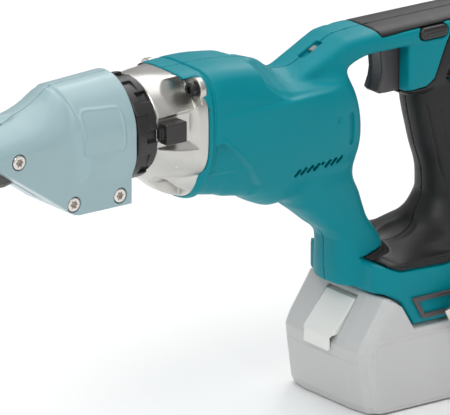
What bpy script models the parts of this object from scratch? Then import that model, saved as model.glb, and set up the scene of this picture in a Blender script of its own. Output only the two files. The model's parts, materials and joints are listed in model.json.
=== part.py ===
"""Cordless fibre-cement shear with a swivelling head, a closed D-handle and a slide-on battery.

Every size below is in millimetres in the tool's own axes: x runs back from the rear face of the
head's swivel ring, y runs to the tool's right and z runs up from the axis that the head turns on.
at() turns such a place into the part's frame, which stands on the middle of the battery's base.
"""
from math import asin, atan2, cos, pi, radians, sin

import bmesh
import bpy
from mathutils import Matrix, Vector

# ---- driving dimensions, mm ----
MM = 0.001
AXIS_HEIGHT = 177.0        # the head's axis above the base of the battery
BATTERY_MIDDLE = 192.0     # from the swivel ring's rear face back to the middle of the battery
GAP = 0.3                  # between pieces that touch
HALF_SEAM = 0.15           # each clamshell half stops this short of the middle plane

HEAD_REAR = -13.0
HEAD_BORE_R = 20.6
HEAD_WEB_HALF = 22.0
SCREW_HEAD_R = 3.9
BLADE_HALF = 3.0
BLADE_SLOT_HALF = 3.4
SIDE_BLADE_OUTER = 8.0
PIVOT_X = -83.4
PIVOT_Z = 0.5
RING_OUTER_R = 27.8
RING_INNER_R = 20.9
NOTCH_COUNT = 8
NOTCH_HALF = 3.4
NOTCH_DEPTH = 2.6
LOCK_Z = 1.0               # middle height of the head-lock slider
GEAR_MODULE = 0.9
GEAR_TEETH = 40
PINION_TEETH = 8
MOTOR_Z = -GEAR_MODULE * (GEAR_TEETH + PINION_TEETH) / 2
CRANK_THROW = 3.0
ROLLER_R = 5.0
HOUSING_FRONT = 31.3
WALL = 3.0
RUBBER = 2.0
BATTERY_HALF = 37.5
BATTERY_BASE = -177.0
BATTERY_REAR = 250.0
BAY_HALF = 31.0            # half width of the space that the battery's rails slide in
SEAM_Z = -137.0            # battery tub below, battery cover above
LAMP_TILT = radians(-27)
HOOK_TILT = radians(-27)
HOOK_ANCHOR = (226.0, -106.0)
HOOK_HALF = 10.0
SECTION_POINTS = 20

PARTS = bpy.data.collections.new("fibre_cement_shear")
CUTTERS = bpy.data.collections.new("cutters")

COLOURS = {
    "head_paint": ((0.36, 0.47, 0.50), 0.45, 0.2),
    "cast_alloy": ((0.62, 0.62, 0.60), 0.35, 0.9),
    "tool_steel": ((0.13, 0.13, 0.14), 0.35, 0.9),
    "bright_steel": ((0.66, 0.65, 0.63), 0.25, 1.0),
    "black_steel": ((0.03, 0.03, 0.03), 0.45, 0.6),
    "black_plastic": ((0.03, 0.03, 0.032), 0.5, 0.0),
    "teal_plastic": ((0.0, 0.26, 0.30), 0.4, 0.0),
    "rubber": ((0.03, 0.03, 0.03), 0.7, 0.0),
    "grey_plastic": ((0.16, 0.15, 0.16), 0.45, 0.0),
    "pale_plastic": ((0.58, 0.58, 0.58), 0.45, 0.0),
    "white_plastic": ((0.86, 0.86, 0.84), 0.4, 0.0),
    "lamination": ((0.30, 0.30, 0.32), 0.5, 0.9),
    "copper": ((0.70, 0.33, 0.16), 0.35, 1.0),
    "lens": ((0.85, 0.90, 0.90), 0.1, 0.0),
    "board": ((0.02, 0.20, 0.08), 0.5, 0.0),
    "cell_wrap": ((0.10, 0.35, 0.30), 0.4, 0.0),
}


# ---- helpers ----
def clear_scene():
    for item in list(bpy.data.objects):
        bpy.data.objects.remove(item)
    bpy.context.scene.collection.children.link(PARTS)
    bpy.context.scene.collection.children.link(CUTTERS)


def at(x, y, z):
    return Vector(((x - BATTERY_MIDDLE) * MM, y * MM, (z + AXIS_HEIGHT) * MM))


def rough_shape(mesh_builder):
    """A nameless solid in the cutters' collection, filled by mesh_builder(bm)."""
    bm = bmesh.new()
    mesh_builder(bm)
    bmesh.ops.recalc_face_normals(bm, faces=bm.faces)
    mesh = bpy.data.meshes.new("shape")
    bm.to_mesh(mesh)
    bm.free()
    shape = bpy.data.objects.new("shape", mesh)
    shape.hide_render = True
    shape.display_type = 'WIRE'
    CUTTERS.objects.link(shape)
    return shape


def box(low, high):
    def build(bm):
        size = [(b - a) * MM for a, b in zip(low, high)]
        middle = at(*[(a + b) / 2 for a, b in zip(low, high)])
        matrix = Matrix.Translation(middle) @ Matrix.Diagonal((*size, 1))
        bmesh.ops.create_cube(bm, size=1, matrix=matrix)
    return rough_shape(build)


def rod(axis, start, end, radius, centre, sides=24):
    """A round bar along 'x' or 'y'; centre holds its other two coordinates."""
    def build(bm):
        middle = (start + end) / 2
        if axis == 'x':
            matrix = Matrix.Translation(at(middle, *centre)) @ Matrix.Rotation(pi / 2, 4, 'Y')
        else:
            matrix = Matrix.Translation(at(centre[0], middle, centre[1]))
            matrix = matrix @ Matrix.Rotation(-pi / 2, 4, 'X')
        bmesh.ops.create_cone(bm, cap_ends=True, segments=sides, radius1=radius * MM,
                              radius2=radius * MM, depth=(end - start) * MM, matrix=matrix)
    return rough_shape(build)


def thicken(bm, corners, direction):
    """Close a flat outline of corners and carry it along direction."""
    face = bm.faces.new(corners)
    grown = bmesh.ops.extrude_face_region(bm, geom=[face])
    moved = [v for v in grown["geom"] if isinstance(v, bmesh.types.BMVert)]
    bmesh.ops.translate(bm, verts=moved, vec=direction)


def slab(outline, y_low, y_high):
    """A flat side-view outline of (x, z) places, as thick as y_low to y_high."""
    def build(bm):
        corners = [bm.verts.new(at(x, y_low, z)) for x, z in outline]
        thicken(bm, corners, (0, (y_high - y_low) * MM, 0))
    return rough_shape(build)


def level_slab(outline, z_low, z_high):
    """A flat plan outline of (x, y) places, as thick as z_low to z_high."""
    def build(bm):
        corners = [bm.verts.new(at(x, y, z_low)) for x, y in outline]
        thicken(bm, corners, (0, 0, (z_high - z_low) * MM))
    return rough_shape(build)


def loft(rings):
    """A closed skin over rings of places, capped at both ends."""
    def build(bm):
        loops = [[bm.verts.new(at(*place)) for place in ring] for ring in rings]
        for near, far in zip(loops, loops[1:]):
            for i, corner in enumerate(near):
                j = (i + 1) % len(near)
                bm.faces.new((corner, near[j], far[j], far[i]))
        bm.faces.new(loops[0])
        bm.faces.new(loops[-1])
    return rough_shape(build)


def power(value, exponent):
    return abs(value) ** exponent * (1 if value >= 0 else -1)


def cross_section(x, top, middle, bottom, half, upper, lower, inset=0.0, count=SECTION_POINTS):
    """An upright rounded section at x, square where its exponents are high."""
    ring = []
    for i in range(count):
        angle = 2 * pi * i / count
        shape = upper if sin(angle) >= 0 else lower
        reach = (top - middle if sin(angle) >= 0 else middle - bottom) - inset
        y = (half - inset) * power(cos(angle), 2 / shape)
        z = middle + reach * power(sin(angle), 2 / shape)
        ring.append((x, y, z))
    return ring


def level_section(z, front, rear, half, shape, inset=0.0, count=SECTION_POINTS):
    """A level rounded section at height z."""
    ring = []
    middle = (front + rear) / 2
    depth = (rear - front) / 2 - inset
    for i in range(count):
        angle = 2 * pi * i / count
        x = middle + depth * power(cos(angle), 2 / shape)
        y = (half - inset) * power(sin(angle), 2 / shape)
        ring.append((x, y, z))
    return ring


def is_closed(mesh):
    bm = bmesh.new()
    bm.from_mesh(mesh)
    closed = len(bm.faces) > 0 and all(len(edge.link_faces) == 2 for edge in bm.edges)
    bm.free()
    return closed


def combine(target, operation, tools):
    """Boolean target with each tool, and leave the result in target's mesh."""
    for tool in tools:
        before = target.data
        for solver in ('EXACT', 'MANIFOLD'):
            step = target.modifiers.new(operation, 'BOOLEAN')
            step.operation = operation
            step.solver = solver
            step.object = tool
            depsgraph = bpy.context.evaluated_depsgraph_get()
            mesh = bpy.data.meshes.new_from_object(target.evaluated_get(depsgraph))
            target.modifiers.clear()
            target.data = mesh
            if is_closed(mesh):
                break
            target.data = before
        bpy.data.objects.remove(tool)
    return target


def join(target, *tools):
    return combine(target, 'UNION', tools)


def cut(target, *tools):
    return combine(target, 'DIFFERENCE', tools)


def common(target, *tools):
    return combine(target, 'INTERSECT', tools)


def copy_of(shape):
    twin = shape.copy()
    twin.data = shape.data.copy()
    CUTTERS.objects.link(twin)
    return twin


def finish(shape, name, colour, pivot=(BATTERY_MIDDLE, 0, -AXIS_HEIGHT)):
    """Name a shape, colour it and put its origin on pivot."""
    CUTTERS.objects.unlink(shape)
    PARTS.objects.link(shape)
    shape.name = name
    shape.hide_render = False
    shape.display_type = 'TEXTURED'
    origin = at(*pivot)
    shape.data.transform(Matrix.Translation(-origin))
    shape.location = origin
    tint, roughness, metal = COLOURS[colour]
    material = bpy.data.materials.new(name)
    material.use_nodes = True
    shader = material.node_tree.nodes["Principled BSDF"]
    shader.inputs["Base Color"].default_value = (*tint, 1)
    shader.inputs["Roughness"].default_value = roughness
    shader.inputs["Metallic"].default_value = metal
    shape.data.materials.clear()
    shape.data.materials.append(material)
    shape.data.shade_smooth()
    shape.data.set_sharp_from_angle(angle=radians(35))
    return shape


def tube(start, end, outer, inner, centre, sides=24):
    """A plain ring along x."""
    ring = rod('x', start, end, outer, centre, sides)
    return cut(ring, rod('x', start - 1, end + 1, inner, centre, sides))


def halves(shape):
    """The left and right halves of a shape, a seam apart."""
    left = copy_of(shape)
    common(left, box((-150, -80, -200), (300, -HALF_SEAM, 80)))
    common(shape, box((-150, HALF_SEAM, -200), (300, 80, 80)))
    return left, shape


# ---- cutting head ----
HEAD_NOSE = [               # x, crown height, half width
    (HEAD_REAR, 28.4, 22.0), (-51.5, 28.4, 22.0), (-54.5, 27.4, 22.0), (-58.0, 24.9, 22.0),
    (-63.0, 22.0, 22.0), (-70.0, 19.3, 22.0), (-78.0, 17.9, 21.8), (-95.0, 14.5, 20.5),
    (-105.0, 12.0, 18.0), (-108.0, 10.5, 15.0),
]
HEAD_BARREL = [             # the same, for the round barrel
    (HEAD_REAR, 32.0, 25.6), (-52.0, 30.2, 25.0),
]
BARREL_FRONT = [            # the barrel ends on a slant that leans back towards the web
    (-49.6, 40.0), (-49.6, 30.5), (-47.0, 22.0), (-44.5, 10.0), (-43.0, -3.0), (-41.0, -14.0),
    (HEAD_REAR, -14.0), (HEAD_REAR, 40.0),
]
HEAD_OUTLINE = [
    (HEAD_REAR, -35.0), (-46.0, -35.0), (-49.0, -34.3), (-51.5, -32.5), (-96.5, -1.2),
    (-104.0, 4.0), (-107.0, 7.0), (-109.0, 40.0), (HEAD_REAR, 40.0),
]
BLADE_SLOT = [
    (-44.0, 19.0), (-54.0, 15.0), (-64.0, 11.5), (-80.0, 9.8), (-112.0, 9.8), (-112.0, -45.0),
    (-56.0, -45.0), (-56.0, -24.0), (-44.0, -19.0),
]
SIDE_BLADE = [
    (-111.5, 9.0), (-113.0, 5.0), (-92.0, -3.4), (-76.0, -7.0), (-70.0, -4.0), (-70.0, 8.0),
    (-74.0, 9.0),
]
HEAD_SCREWS = [(PIVOT_X, PIVOT_Z), (-49.4, -28.5), (-20.4, -29.3)]
CENTRE_BLADE = [
    (-24.0, 11.5), (-24.0, 15.6), (-45.0, 15.6), (-55.0, 11.0), (-66.0, 8.4), (-82.0, 7.4),
    (-89.0, 3.5), (-91.5, -4.6), (-107.5, -5.6), (-108.8, -7.6), (-104.0, -12.2),
    (-96.0, -16.2), (-88.0, -18.4), (-79.0, -18.8), (-72.0, -17.2), (-64.0, -13.6),
    (-54.0, -14.2), (-45.0, -15.6), (-24.0, -15.6), (-24.0, -11.5), (-41.0, -11.5),
    (-41.0, 11.5),
]


def head_ring(x, crown, half):
    """Square web below, barrel above: a section of the head casting."""
    web = min(HEAD_WEB_HALF, half)
    right = [(x, web, -35.0), (x, web, -15.0), (x, half, -8.0), (x, half, 3.0)]
    dome = []
    steps = 12
    for i in range(1, steps):
        angle = pi * i / steps
        dome.append((x, half * cos(angle), 3.0 + (crown - 3.0) * sin(angle)))
    left = [(x, -y, z) for x, y, z in reversed(right)]
    return right + dome + left


def make_head():
    barrel = loft([head_ring(*row) for row in HEAD_BARREL])
    common(barrel, slab(BARREL_FRONT, -40, 40))
    head = join(loft([head_ring(*row) for row in HEAD_NOSE]), barrel)
    common(head, slab(HEAD_OUTLINE, -40, 40))
    cut(head, rod('x', -46.5, HEAD_REAR + 1, HEAD_BORE_R, (0, 0), 32))
    cut(head, slab(BLADE_SLOT, -BLADE_SLOT_HALF, BLADE_SLOT_HALF))
    cut(head, box((-101, -BLADE_SLOT_HALF, 5), (-82, BLADE_SLOT_HALF, 40)))
    pocket = [(x - 0.4 if x < -80 else x + 0.4, z - 0.4 if z < 0 else z + 0.4) for x, z in SIDE_BLADE]
    cut(head, slab(pocket, -SIDE_BLADE_OUTER - GAP, SIDE_BLADE_OUTER + GAP))
    for x, z in HEAD_SCREWS:
        cut(head, rod('y', -30, 18.5, 2.8, (x, z), 16))
        cut(head, rod('y', -30, -16.8, SCREW_HEAD_R + 0.4, (x, z), 20))
    left, right = halves(head)
    finish(left, "head_left_half", "head_paint")
    finish(right, "head_right_half", "head_paint")
    for name, (x, z) in zip(("pivot", "lower_front", "lower_rear"), HEAD_SCREWS):
        make_socket_screw("head_screw_" + name, (x, z))


def make_socket_screw(name, centre):
    screw = rod('y', -21.3, -17.1, SCREW_HEAD_R, centre, 20)
    join(screw, rod('y', -17.4, 18.2, 2.5, centre, 16))
    cut(screw, rod('y', -23.0, -18.4, 2.4, centre, 6))
    finish(screw, name, "bright_steel")


def make_blades():
    for side, name in ((-1, "left"), (1, "right")):
        low, high = sorted((side * (BLADE_SLOT_HALF + 0.05), side * SIDE_BLADE_OUTER))
        blade = slab(SIDE_BLADE, low, high)
        cut(blade, rod('y', low - 1, high + 1, 2.8, (PIVOT_X, PIVOT_Z), 16))
        finish(blade, "side_blade_" + name, "tool_steel")
    bush = rod('y', -3.2, 3.2, 4.2, (PIVOT_X, PIVOT_Z), 20)
    cut(bush, rod('y', -5, 5, 2.8, (PIVOT_X, PIVOT_Z), 16))
    finish(bush, "blade_pivot_bush", "bright_steel")
    centre = slab(CENTRE_BLADE, -BLADE_HALF, BLADE_HALF)
    cut(centre, rod('y', -5, 5, 4.4, (PIVOT_X, PIVOT_Z), 20))
    finish(centre, "centre_blade", "tool_steel", (PIVOT_X, 0, PIVOT_Z))


def make_ring():
    ring = tube(-12.6, -0.4, RING_OUTER_R, RING_INNER_R, (0, 0), 48)
    start = pi - asin(LOCK_Z / RING_OUTER_R)
    for i in range(NOTCH_COUNT):
        angle = start + 2 * pi * i / NOTCH_COUNT
        notch = box((-7.5, -NOTCH_HALF, RING_OUTER_R - NOTCH_DEPTH), (1, NOTCH_HALF, RING_OUTER_R + 3))
        turn_about_head_axis(notch, angle - pi / 2)
        cut(ring, notch)
    finish(ring, "swivel_ring", "black_plastic", (0, 0, 0))


def turn_about_head_axis(shape, angle):
    middle = at(0, 0, 0)
    turn = Matrix.Translation(middle) @ Matrix.Rotation(angle, 4, 'X') @ Matrix.Translation(-middle)
    shape.data.transform(turn)


# ---- gear housing, crank and gears ----
UPPER_CORNERS = [(-21.0, 18.8), (21.0, 18.8)]
LOWER_CORNERS = [(-11.5, -31.2), (11.5, -31.2)]
SCREW_CORNERS = UPPER_CORNERS + LOWER_CORNERS
WELL_FLOOR = 27.2          # the corner screws' heads sit down on this
WELL_R = 4.5
CORNER_WEDGE = [(4.0, 29.1), (22.0, 23.3), (WELL_FLOOR, 23.3), (WELL_FLOOR, 40.0), (4.0, 40.0)]


def make_gear_housing():
    rows = [
        (0.2, 26.4, 0.0, -26.4, 26.4, 2.0, 2.0), (6.0, 27.4, -2.0, -31.0, 27.2, 2.2, 2.0),
        (14.0, 26.6, -5.0, -37.0, 27.8, 2.9, 1.9), (22.0, 26.0, -7.0, -42.0, 28.2, 3.5, 1.8),
        (31.0, 25.6, -8.0, -44.5, 28.5, 3.8, 1.8),
    ]
    body = loft([cross_section(*row) for row in rows])
    join(body, rod('x', -11.0, 1.0, 20.4, (0, 0), 32))
    cut(body, rod('x', -12.0, 4.0, 16.4, (0, 0), 32))
    cut(body, rod('x', 3.0, 25.0, 20.8, (0, 0), 32))
    cut(body, rod('x', 3.0, 25.0, 7.0, (0, MOTOR_Z), 20))
    cut(body, loft([bulkhead_section(x, -0.4) for x in (24.6, 32.0)]))
    cut(body, box((-1, -40, LOCK_Z - 8.5), (22.5, -24.6, LOCK_Z + 10.0)))
    for y, z in UPPER_CORNERS:
        wedge = slab(CORNER_WEDGE, -7.7, 7.7)
        turn_about_head_axis(wedge, atan2(z, y) - pi / 2)
        cut(body, wedge)
    for y, z in LOWER_CORNERS:
        cut(body, rod('x', 8.3, WELL_FLOOR, WELL_R, (y, z), 16))
        cut(body, box((7.1, y - 4.1, -60.0), (WELL_FLOOR, y + 4.1, z + 0.3)))
    for y, z in SCREW_CORNERS:
        cut(body, rod('x', 26.0, 33.0, 2.3, (y, z), 12))
    finish(body, "gear_housing", "cast_alloy")


def bulkhead_section(x, inset):
    return cross_section(x, 15.0, -6.0, -32.6, 15.0, 2.2, 2.2, inset)


def make_bulkhead():
    plate = loft([bulkhead_section(x, 0.0) for x in (25.2, 31.0)])
    cut(plate, rod('x', 24, 33, 9.3, (0, 0), 24))
    cut(plate, rod('x', 24, 33, 8.3, (0, MOTOR_Z), 24))
    finish(plate, "bearing_bulkhead", "cast_alloy")
    finish(tube(25.6, 30.6, 9.0, 4.3, (0, 0)), "crank_rear_bearing", "bright_steel")
    finish(tube(25.6, 30.6, 8.0, 3.3, (0, MOTOR_Z)), "motor_front_bearing", "bright_steel")
    finish(tube(-10.0, -1.0, 16.0, 7.8, (0, 0), 32), "crank_front_bearing", "bright_steel")
    finish(tube(99.0, 104.0, 8.0, 3.3, (0, MOTOR_Z)), "motor_rear_bearing", "bright_steel")


def make_crank():
    shaft = rod('x', -20.0, -12.0, 9.5, (0, 0))
    join(shaft, rod('x', -12.5, 0.5, 7.5, (0, 0)))
    join(shaft, rod('x', 0.0, 8.0, 8.2, (0, 0)))
    join(shaft, rod('x', 7.5, 17.5, 6.0, (0, 0)))
    join(shaft, rod('x', 17.0, 30.2, 4.0, (0, 0)))
    join(shaft, rod('x', -37.0, -19.0, 3.2, (CRANK_THROW, 0), 16))
    finish(shaft, "crankshaft", "bright_steel", (0, 0, 0))
    roller = tube(-36.0, -26.0, ROLLER_R, 3.5, (CRANK_THROW, 0), 20)
    finish(roller, "crank_roller", "bright_steel", (0, 0, 0))


def gear_ring(x, teeth, centre_z, first_tooth):
    """One end of a gear: a trapezoid tooth at every pitch."""
    root = GEAR_MODULE * (teeth - 2.5) / 2
    tip = GEAR_MODULE * (teeth + 1.8) / 2
    pitch = 2 * pi / teeth
    ring = []
    for i in range(teeth):
        middle = first_tooth + i * pitch
        for share, radius in ((-0.29, root), (-0.11, tip), (0.11, tip), (0.29, root)):
            angle = middle + share * pitch
            ring.append((x, radius * cos(angle), centre_z + radius * sin(angle)))
    return ring


def make_gears():
    gear = loft([gear_ring(x, GEAR_TEETH, 0, 0) for x in (8.4, 16.4)])
    cut(gear, rod('x', 7, 18, 6.3, (0, 0), 24))
    finish(gear, "drive_gear", "bright_steel", (0, 0, 0))
    half_pitch = pi / PINION_TEETH
    shaft = loft([gear_ring(x, PINION_TEETH, MOTOR_Z, half_pitch) for x in (7.0, 18.0)])
    join(shaft, rod('x', 17.5, 107.0, 3.0, (0, MOTOR_Z), 16))
    finish(shaft, "rotor_shaft", "bright_steel", (0, 0, MOTOR_Z))


def make_motor():
    core = tube(60.0, 90.0, 13.0, 3.3, (0, MOTOR_Z), 24)
    finish(core, "rotor_core", "lamination", (0, 0, MOTOR_Z))
    fan = tube(50.0, 52.0, 20.5, 3.3, (0, MOTOR_Z), 24)
    for i in range(9):
        blade = box((51.5, 8.0, MOTOR_Z - 0.7), (58.0, 19.6, MOTOR_Z + 0.7))
        middle = at(0, 0, MOTOR_Z)
        turn = Matrix.Rotation(2 * pi * i / 9, 4, 'X')
        blade.data.transform(Matrix.Translation(middle) @ turn @ Matrix.Translation(-middle))
        join(fan, blade)
    finish(fan, "cooling_fan", "black_plastic", (0, 0, MOTOR_Z))
    stator = tube(61.0, 89.0, 23.5, 13.8, (0, MOTOR_Z), 32)
    finish(stator, "stator", "copper")
    board = tube(92.5, 94.5, 21.0, 9.0, (0, MOTOR_Z), 24)
    finish(board, "sensor_board", "board")


def make_corner_screws():
    names = ("upper_left", "upper_right", "lower_left", "lower_right")
    for name, (y, z) in zip(names, SCREW_CORNERS):
        screw = rod('x', 23.4, 26.9, 3.9, (y, z), 16)
        join(screw, rod('x', 26.4, 42.0, 2.0, (y, z), 12))
        cut(screw, rod('x', 22.0, 25.2, 2.0, (y, z), 6))
        finish(screw, "gear_housing_screw_" + name, "black_steel")


def make_lock():
    slider = box((2.0, -31.5, LOCK_Z - 5.5), (15.0, -24.9, LOCK_Z + 5.5))
    join(slider, box((0.1, -28.0, LOCK_Z - 2.8), (2.5, -25.2, LOCK_Z + 2.8)))
    finish(slider, "head_lock_slider", "black_plastic")


# ---- clamshell housing and rubber ----
BARREL = [                 # x, top, widest height, bottom, half width, upper and lower squareness
    (HOUSING_FRONT, 25.6, -8.0, -44.5, 28.5, 3.8, 1.8), (45.0, 26.0, -8.0, -47.0, 31.0, 3.5, 1.9),
    (64.0, 23.6, -10.0, -50.0, 32.0, 3.2, 2.0), (74.0, 21.2, -11.0, -55.5, 32.0, 3.0, 2.0),
    (84.0, 17.0, -12.0, -59.0, 32.0, 2.7, 2.0), (95.0, 12.5, -13.0, -58.5, 31.5, 2.4, 2.0),
    (108.0, 12.0, -14.0, -57.0, 31.0, 2.4, 2.0), (120.0, 11.5, -17.0, -55.0, 29.5, 2.3, 2.0),
    (130.0, 8.0, -20.0, -52.0, 25.0, 2.2, 2.0), (137.0, -2.0, -24.0, -46.0, 17.0, 2.0, 2.0),
    (141.0, -15.0, -26.0, -37.0, 8.0, 2.0, 2.0),
]
UPPER_ARM = [
    (102.0, 11.4, 4.0, -6.0, 16.0, 2.6, 2.4), (114.0, 16.4, 7.0, -4.0, 16.6, 3.2, 2.6),
    (124.0, 21.6, 11.0, 0.0, 17.0, 3.6, 2.8), (132.0, 24.2, 16.0, 9.0, 17.2, 3.6, 3.0),
    (146.0, 25.4, 18.6, 13.5, 17.5, 3.6, 3.0), (172.0, 25.6, 18.6, 13.5, 17.5, 3.4, 3.0),
    (190.0, 25.6, 18.6, 10.0, 17.5, 3.4, 3.0),
]
SWITCH_HOUSING = [
    (169.0, 25.0, 5.0, -13.5, 16.0, 4.0, 4.0), (172.0, 25.6, 5.0, -15.5, 17.2, 3.6, 4.0),
    (214.0, 25.6, 5.0, -17.0, 18.0, 3.2, 3.2), (226.0, 23.0, 3.0, -18.0, 17.0, 2.8, 2.8),
    (234.0, 16.0, 0.0, -18.0, 13.0, 2.4, 2.4),
]
GRIP = [                   # height, front, rear, half width, squareness
    (12.0, 180.0, 235.0, 16.5, 2.6), (-8.0, 178.0, 236.0, 17.5, 2.5),
    (-20.0, 179.0, 235.0, 17.5, 2.4), (-45.0, 185.0, 233.0, 17.0, 2.3),
    (-62.0, 190.0, 234.0, 17.0, 2.3), (-72.0, 190.5, 236.0, 17.8, 2.3),
    (-81.0, 187.0, 239.0, 20.5, 2.4), (-88.0, 179.0, 243.0, 25.0, 2.6),
    (-94.0, 160.0, 247.0, 30.0, 3.0), (-100.0, 146.0, 249.0, 33.5, 4.0),
]
STRUT = [
    (-42.0, 92.0, 134.0, 24.0, 2.6), (-52.0, 93.0, 138.0, 20.5, 2.8),
    (-62.0, 98.5, 143.5, 18.0, 2.7), (-69.0, 107.0, 146.0, 17.0, 2.6),
    (-76.0, 115.5, 148.5, 16.5, 2.6), (-83.0, 124.0, 153.0, 16.5, 2.6),
    (-86.5, 125.8, 155.5, 16.5, 2.6), (-92.0, 126.0, 159.0, 16.8, 2.6),
    (-98.8, 126.0, 166.0, 18.5, 2.6), (-110.5, 127.0, 176.0, 22.0, 2.6),
]
FOOT_OUTLINE = [
    (136.0, -112.3), (142.4, -113.2), (146.0, -115.2), (151.0, -118.6),
    (159.0, -132.0), (BATTERY_REAR, -132.0), (BATTERY_REAR, -97.6), (136.0, -97.6),
]
FOOT_PLAN = [
    (137.0, -20.0), (137.0, 20.0), (138.2, 26.0), (141.5, 31.0), (147.0, 34.4), (154.0, 35.5),
    (244.0, 35.5), (248.5, 33.5), (BATTERY_REAR, 29.0), (BATTERY_REAR, -29.0), (248.5, -33.5),
    (244.0, -35.5), (154.0, -35.5), (147.0, -34.4), (141.5, -31.0), (138.2, -26.0),
]
RUBBER_ZONE = [
    (144.5, 40.0), (151.5, 21.9), (197.6, 23.2), (194.3, 14.0), (190.0, 4.0), (185.5, -7.0),
    (181.0, -10.5), (173.0, -11.0), (166.0, -13.0), (158.0, -30.0), (158.0, -80.0),
    (154.0, -92.0), (137.0, -96.0), (150.0, -101.5), (180.0, -103.0), (196.0, -99.8),
    (212.0, -92.0), (260.0, -92.0), (260.0, 40.0),
]
RIGHT_SCREWS = [(140.0, 20.0), (222.0, 10.0), (208.0, -60.0), (126.0, -66.0), (238.0, -105.0)]
LEFT_SCREWS = [(198.0, -6.0)]
VENT_XS = [88.5, 92.6, 96.8, 100.9, 108.4, 112.4, 116.4]
VENT_RISE = 0.065          # how far the row of vents rises for each mm towards the rear
HOOK_SCREW = (HOOK_ANCHOR[0] + 2.0, HOOK_ANCHOR[1])


def x_loft(rows, inset=0.0, end_inset=0.0):
    rings = []
    for number, row in enumerate(rows):
        x = row[0]
        if number == 0:
            x += end_inset
        if number == len(rows) - 1:
            x -= end_inset
        rings.append(cross_section(x, *row[1:], inset=inset))
    return loft(rings)


def z_loft(rows, inset=0.0):
    return loft([level_section(*row, inset=inset) for row in rows])


def make_full_body():
    body = x_loft(BARREL)
    join(body, x_loft(UPPER_ARM), x_loft(SWITCH_HOUSING), z_loft(GRIP), z_loft(STRUT))
    join(body, box((162.0, -6.5, -16.8), (172.0, 6.5, -13.6)))
    foot = slab(FOOT_OUTLINE, -36.0, 36.0)
    common(foot, level_slab(FOOT_PLAN, -140.0, -90.0))
    return join(body, foot)


def make_cavity():
    rear_barrel = [row for row in BARREL if row[0] > 40]
    cavity = x_loft(rear_barrel, WALL, WALL)
    arm = [row for row in UPPER_ARM if row[0] > 110]
    deep = WALL + RUBBER - 0.4
    join(cavity, x_loft(arm, 3.6, 0.0), x_loft(SWITCH_HOUSING, deep, WALL))
    join(cavity, z_loft(GRIP[:-1], deep), z_loft(STRUT[:-1], WALL))
    join(cavity, box((141.0, -28.0, -111.0), (244.0, 28.0, -101.0)))
    return cavity


def rubber_core(inset):
    """What lies under the rubber grip, drawn in by inset."""
    core = x_loft(UPPER_ARM, inset)
    join(core, x_loft(SWITCH_HOUSING, inset, inset), z_loft(GRIP, inset))
    low = (139.3 + inset, -33.2 + inset, -112.0)
    high = (248.0 - inset, 33.2 - inset, -97.4 - inset)
    return join(core, box(low, high))


def make_housing():
    body = make_full_body()
    rubber = copy_of(body)
    common(rubber, slab(shrunk(RUBBER_ZONE, GAP), -50, 50))
    cut(rubber, rubber_core(RUBBER - GAP))
    cut(body, slab(RUBBER_ZONE, -50, 50))
    join(body, rubber_core(RUBBER))
    cavity = make_cavity()
    cut(body, cavity)
    cut(body, box((142.0, -BAY_HALF, -140.0), (260.0, BAY_HALF, -113.0)))
    drill_housing(body)
    drill_housing(rubber)
    for shape, name, colour in ((body, "housing_", "teal_plastic"), (rubber, "grip_rubber_", "rubber")):
        left, right = halves(shape)
        for side, half in (("left", left), ("right", right)):
            keep_biggest(half)
            finish(half, name + side, colour)


def shrunk(outline, gap):
    """An outline drawn in by gap all round, its corners mitred."""
    area = sum(a[0] * b[1] - b[0] * a[1] for a, b in zip(outline, outline[1:] + outline[:1]))
    inward = 1 if area > 0 else -1
    result = []
    for i, corner in enumerate(outline):
        here = Vector(corner)
        before = (here - Vector(outline[i - 1])).normalized()
        after = (Vector(outline[(i + 1) % len(outline)]) - here).normalized()
        normal = Vector((-before.y - after.y, before.x + after.x)) * inward
        normal.normalize()
        share = max(0.5, normal.dot(Vector((-after.y, after.x)) * inward))
        place = here + normal * (gap / share)
        result.append((place.x, place.y))
    return result


def keep_biggest(shape):
    """Drop slivers that a cut leaves loose."""
    bm = bmesh.new()
    bm.from_mesh(shape.data)
    bm.verts.ensure_lookup_table()
    seen = set()
    groups = []
    for start in bm.verts:
        if start in seen:
            continue
        group = [start]
        seen.add(start)
        for vert in group:
            for edge in vert.link_edges:
                other = edge.other_vert(vert)
                if other not in seen:
                    seen.add(other)
                    group.append(other)
        groups.append(group)
    groups.sort(key=len)
    for group in groups[:-1]:
        bmesh.ops.delete(bm, geom=group, context='VERTS')
    bm.to_mesh(shape.data)
    bm.free()


def drill_housing(body):
    """The openings of the clamshell: trigger, buttons, lamp, shaft, screws, vents, hook."""
    cut(body, loft([bulkhead_section(x, -0.6) for x in (HOUSING_FRONT - 1, 48.0)]))
    for y, z in SCREW_CORNERS:
        cut(body, rod('x', HOUSING_FRONT - 1, 42.5, 2.3, (y, z), 12))
    cut(body, box((160.0, -7.0, -13.2), (183.6, 7.0, 12.9)))
    cut(body, slab(oval(185.0, 19.0, 9.9, 4.4), -30, 30))
    for x, z in RIGHT_SCREWS:
        cut(body, rod('y', -14.0, 40, 2.1, (x, z), 12))
        cut(body, rod('y', 10.5, 40, 4.0, (x, z), 16))
    for x, z in LEFT_SCREWS:
        cut(body, rod('y', -40, 14.0, 2.1, (x, z), 12))
        cut(body, rod('y', -40, -10.5, 4.0, (x, z), 16))
    cut(body, rod('y', -40, -31.8, 2.1, HOOK_SCREW, 12))
    cut(body, tilted_box((116.5, 0, 18.6), (13.0, 6.6, 7.0), LAMP_TILT))
    for x in VENT_XS:
        z = -36.6 + VENT_RISE * (x - VENT_XS[0])
        for y in (-30.0, 30.0):
            cut(body, tilted_box((x, y, z), (1.6, 16, 6.4), radians(47)))


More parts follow.
